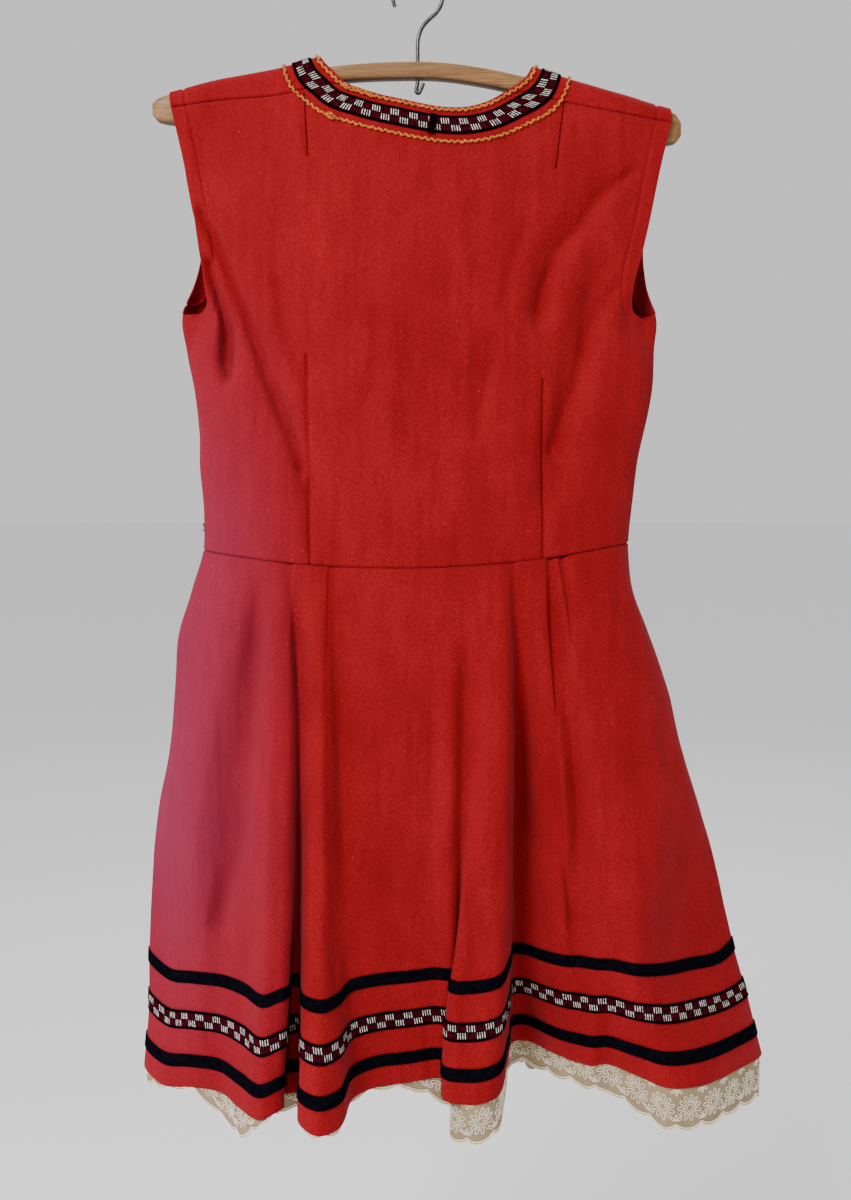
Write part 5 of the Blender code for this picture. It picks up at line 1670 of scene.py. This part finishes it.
def ribbon_material():
    """Black ribbon with two rows of slender bars, four white and four dark red by turns."""
    nodes = Nodes("woven_ribbon", Roughness=0.85, Specular_IOR_Level=0.0)
    vector, along_ribbon, across = nodes.cloth()
    row = nodes.math("GREATER_THAN", across, RIBBON_MIDDLE)
    moved = nodes.plus(nodes.times(across, RIBBON_LEAN), nodes.times(row, RIBBON_REPEAT / 2))
    moved = nodes.plus(along_ribbon, moved)
    repeat = nodes.math("FRACT", nodes.math("DIVIDE", moved, RIBBON_REPEAT))
    white = nodes.math("LESS_THAN", repeat, 0.5)
    bar = nodes.math("FRACT", nodes.times(repeat, 2.0 * RIBBON_BARS))
    from_row = nodes.from_line(nodes.from_line(across, RIBBON_MIDDLE), RIBBON_ROW)
    on_bar = nodes.ramp(nodes.from_line(bar, 0.5), RIBBON_BAR_SHARE - BAR_SIDE_SOFT,
                        RIBBON_BAR_SHARE + BAR_SIDE_SOFT, 1.0, 0.0)
    half_bar = RIBBON_BAR_LENGTH / 2
    in_row = nodes.ramp(from_row, half_bar - BAR_END_SOFT, half_bar, 1.0, 0.0)
    bars = nodes.times(on_bar, in_row)
    worn = nodes.ramp(nodes.noise(vector, 420.0, 2.0, 0.6), 0.36, 0.58)
    ground = nodes.mix(nodes.times(in_row, 0.8), *RIBBON_GROUND)
    thread = nodes.mix(white, nodes.mix(worn, *RIBBON_RED), nodes.mix(worn, *RIBBON_CREAM))
    nodes.base(nodes.mix(bars, ground, thread))
    rib = nodes.math("SINE", nodes.times(along_ribbon, 2 * math.pi / RIBBON_RIB))
    nodes.bump(nodes.plus(nodes.times(rib, 0.2), bars), 0.0004, 0.8)
    return nodes.material


def gold_material():
    """Orange gold rayon cord, duller where it is worn."""
    nodes = Nodes("gold_braid", Roughness=0.5, Specular_IOR_Level=0.2)
    place = nodes.place()
    worn = nodes.ramp(nodes.noise(place, 60.0, 2.0), 0.45, 0.65, 0.0, 0.55)
    colour = nodes.patchy(place, 380.0, GOLD_COLOURS, low=0.35, high=0.65)
    nodes.base(nodes.mix(worn, colour, GOLD_WORN))
    nodes.bump(nodes.noise(place, 2600.0, 1.0), 0.0002, 0.5)
    return nodes.material


def net_material():
    """Fine tan net: threads round small cells, and a thin veil between them."""
    nodes = Nodes("lace_net", Roughness=0.85, Sheen_Weight=0.1, Specular_IOR_Level=0.2)
    vector = nodes.cloth()[0]
    cells = {"Vector": vector, "Scale": 1 / NET_CELL, "Randomness": 0.25}
    cell = nodes.add("ShaderNodeTexVoronoi", cells, feature="DISTANCE_TO_EDGE")
    thread = nodes.ramp(cell.outputs[0], 0.16, 0.22, 1.0, 0.0)
    nodes.base(nodes.mix(thread, NET_MESHES, nodes.patchy(vector, 60.0, NET_COLOURS, 3.0)))
    nodes.put(nodes.shader.inputs["Alpha"], nodes.math("MAXIMUM", thread, NET_VEIL))
    nodes.bump(thread, 0.0002, 0.5)
    return nodes.material


def thread_material():
    """Cream embroidery thread with a soft shine."""
    nodes = Nodes("lace_thread", Roughness=0.5, Sheen_Weight=0.2)
    place = nodes.place()
    nodes.base(nodes.patchy(place, 300.0, THREAD_COLOURS))
    nodes.bump(nodes.noise(place, 3000.0, 1.0), 0.0002, 0.5)
    return nodes.material


def wood_material():
    """Tan varnished wood with its grain along the bar and painted shade along its underside."""
    nodes = Nodes("hanger_wood", Roughness=0.5, Coat_Weight=0.1, Coat_Roughness=0.35,
                  Specular_IOR_Level=0.3)
    stretch = nodes.stretched(nodes.place(), (7.0, 90.0, 110.0))
    grain = nodes.noise(stretch, 5.0, 5.0, 0.7)
    broad = nodes.noise(stretch, 0.8, 2.0)
    colour = nodes.mix(nodes.ramp(grain, 0.35, 0.65), *WOOD_COLOURS)
    colour = nodes.mix(nodes.ramp(broad, 0.4, 0.7, 0.0, 0.5), colour, WOOD_DARK)
    # Painted shade where the bar's surface faces down
    up = nodes.parts(nodes.add("ShaderNodeNewGeometry").outputs["Normal"])[2]
    nodes.base(nodes.mix(nodes.ramp(up, -0.85, -0.45, 0.8, 0.0), colour, WOOD_UNDER_SHADE))
    nodes.bump(grain, 0.0003, 0.5)
    return nodes.material


def steel_material(name, colours):
    """Steel wire with a dull skin, between two greys."""
    nodes = Nodes(name, Roughness=0.38, Metallic=1.0)
    place = nodes.place()
    nodes.base(nodes.patchy(place, 300.0, colours, 3.0))
    nodes.bump(nodes.noise(place, 900.0, 2.0), 0.0001, 0.2)
    return nodes.material


def add_floor():
    """Plain pale ground far below the dress."""
    bpy.ops.mesh.primitive_circle_add(vertices=FLOOR_CORNERS, radius=FLOOR_RADIUS,
                                      fill_type="NGON", location=(0.0, 0.0, FLOOR_Z))
    floor = bpy.context.object
    floor.name = "floor"
    floor.data.materials.append(Nodes("floor", Roughness=0.9, Base_Color=FLOOR_COLOUR).material)


def add_light(name, place, target, size, energy, colour):
    """A round lamp that points at its target."""
    light = bpy.data.lights.new(name, "AREA")
    light.shape = "DISK"
    light.size = size
    light.energy = energy
    light.color = colour
    made = in_scene(bpy.data.objects.new(name, light))
    made.location = place
    made.rotation_euler = (Vector(target) - Vector(place)).to_track_quat("-Z", "Y").to_euler()


def add_world():
    """Even white light from all round."""
    world = bpy.data.worlds.new("white")
    world.use_nodes = True
    colour, strength = list(world.node_tree.nodes["Background"].inputs)[:2]
    colour.default_value = (1.0, 1.0, 1.0, 1.0)
    strength.default_value = WORLD_STRENGTH
    bpy.context.scene.world = world


def add_camera():
    """The camera, at the photograph's place and angle."""
    lens = bpy.data.cameras.new("camera")
    lens.sensor_fit = "VERTICAL"
    lens.sensor_height = SENSOR_HEIGHT
    lens.lens = CAMERA_LENS
    camera = in_scene(bpy.data.objects.new("camera", lens))
    camera.location = CAMERA_PLACE
    camera.rotation_euler = (math.radians(90.0 - CAMERA_PITCH), 0.0, 0.0)
    bpy.context.scene.camera = camera


# Worked out once from the tables: folds by side, shoulder tips and armholes as pattern
# points, and the shares of the columns along the back's neck
FOLDS = {1: BACK_FOLDS, -1: FRONT_FOLDS}
TIP = {side: in_pattern(*tip) for side, tip in SEAM_TIP.items()}
ARMHOLE = [(rise, *in_pattern(left_x, left_z), *in_pattern(right_x, right_z))
           for rise, left_x, left_z, right_x, right_z in BACK_ARMHOLE]
BACK_NECK_PLACES = spaced(BACK_NECK_LENGTH, CELL, (0.0,)) / BACK_NECK_LENGTH


def main():
    """The dress on its hanger, and the stage round it."""
    wool = wool_material()
    gold = gold_material()
    ribbon = ribbon_material()
    neck = neck_spans()
    back, front = bodice_panels(*neck, wool)
    back_skirt, front_skirt = skirt_panels(wool)
    bands = hem_bands({"black_velvet": velvet_material(), "woven_ribbon": ribbon})
    end = ribbon_end(neck)
    trims = [neck_band(neck, ribbon), ribbon_join(*end, ribbon), ribbon_threads(*end, ribbon),
             braid("neck_braid_inner", neck_ring(*neck, BRAID_INNER), INNER_KNOTS, gold),
             braid("neck_braid_outer", neck_ring(*neck, BRAID_OUTER), OUTER_KNOTS, gold)]
    lace = Lace()
    net = lace_net(lace, net_material())
    flowers = lace_flowers(lace, thread_material())
    hanger_bar(wood_material())
    hanger_wire(steel_material("steel_wire", HANGER_STEEL))
    side_hook(steel_material("hook_steel", HOOK_STEEL))
    add_floor()
    add_world()
    for light in LIGHTS:
        add_light(*light)
    add_camera()


main()
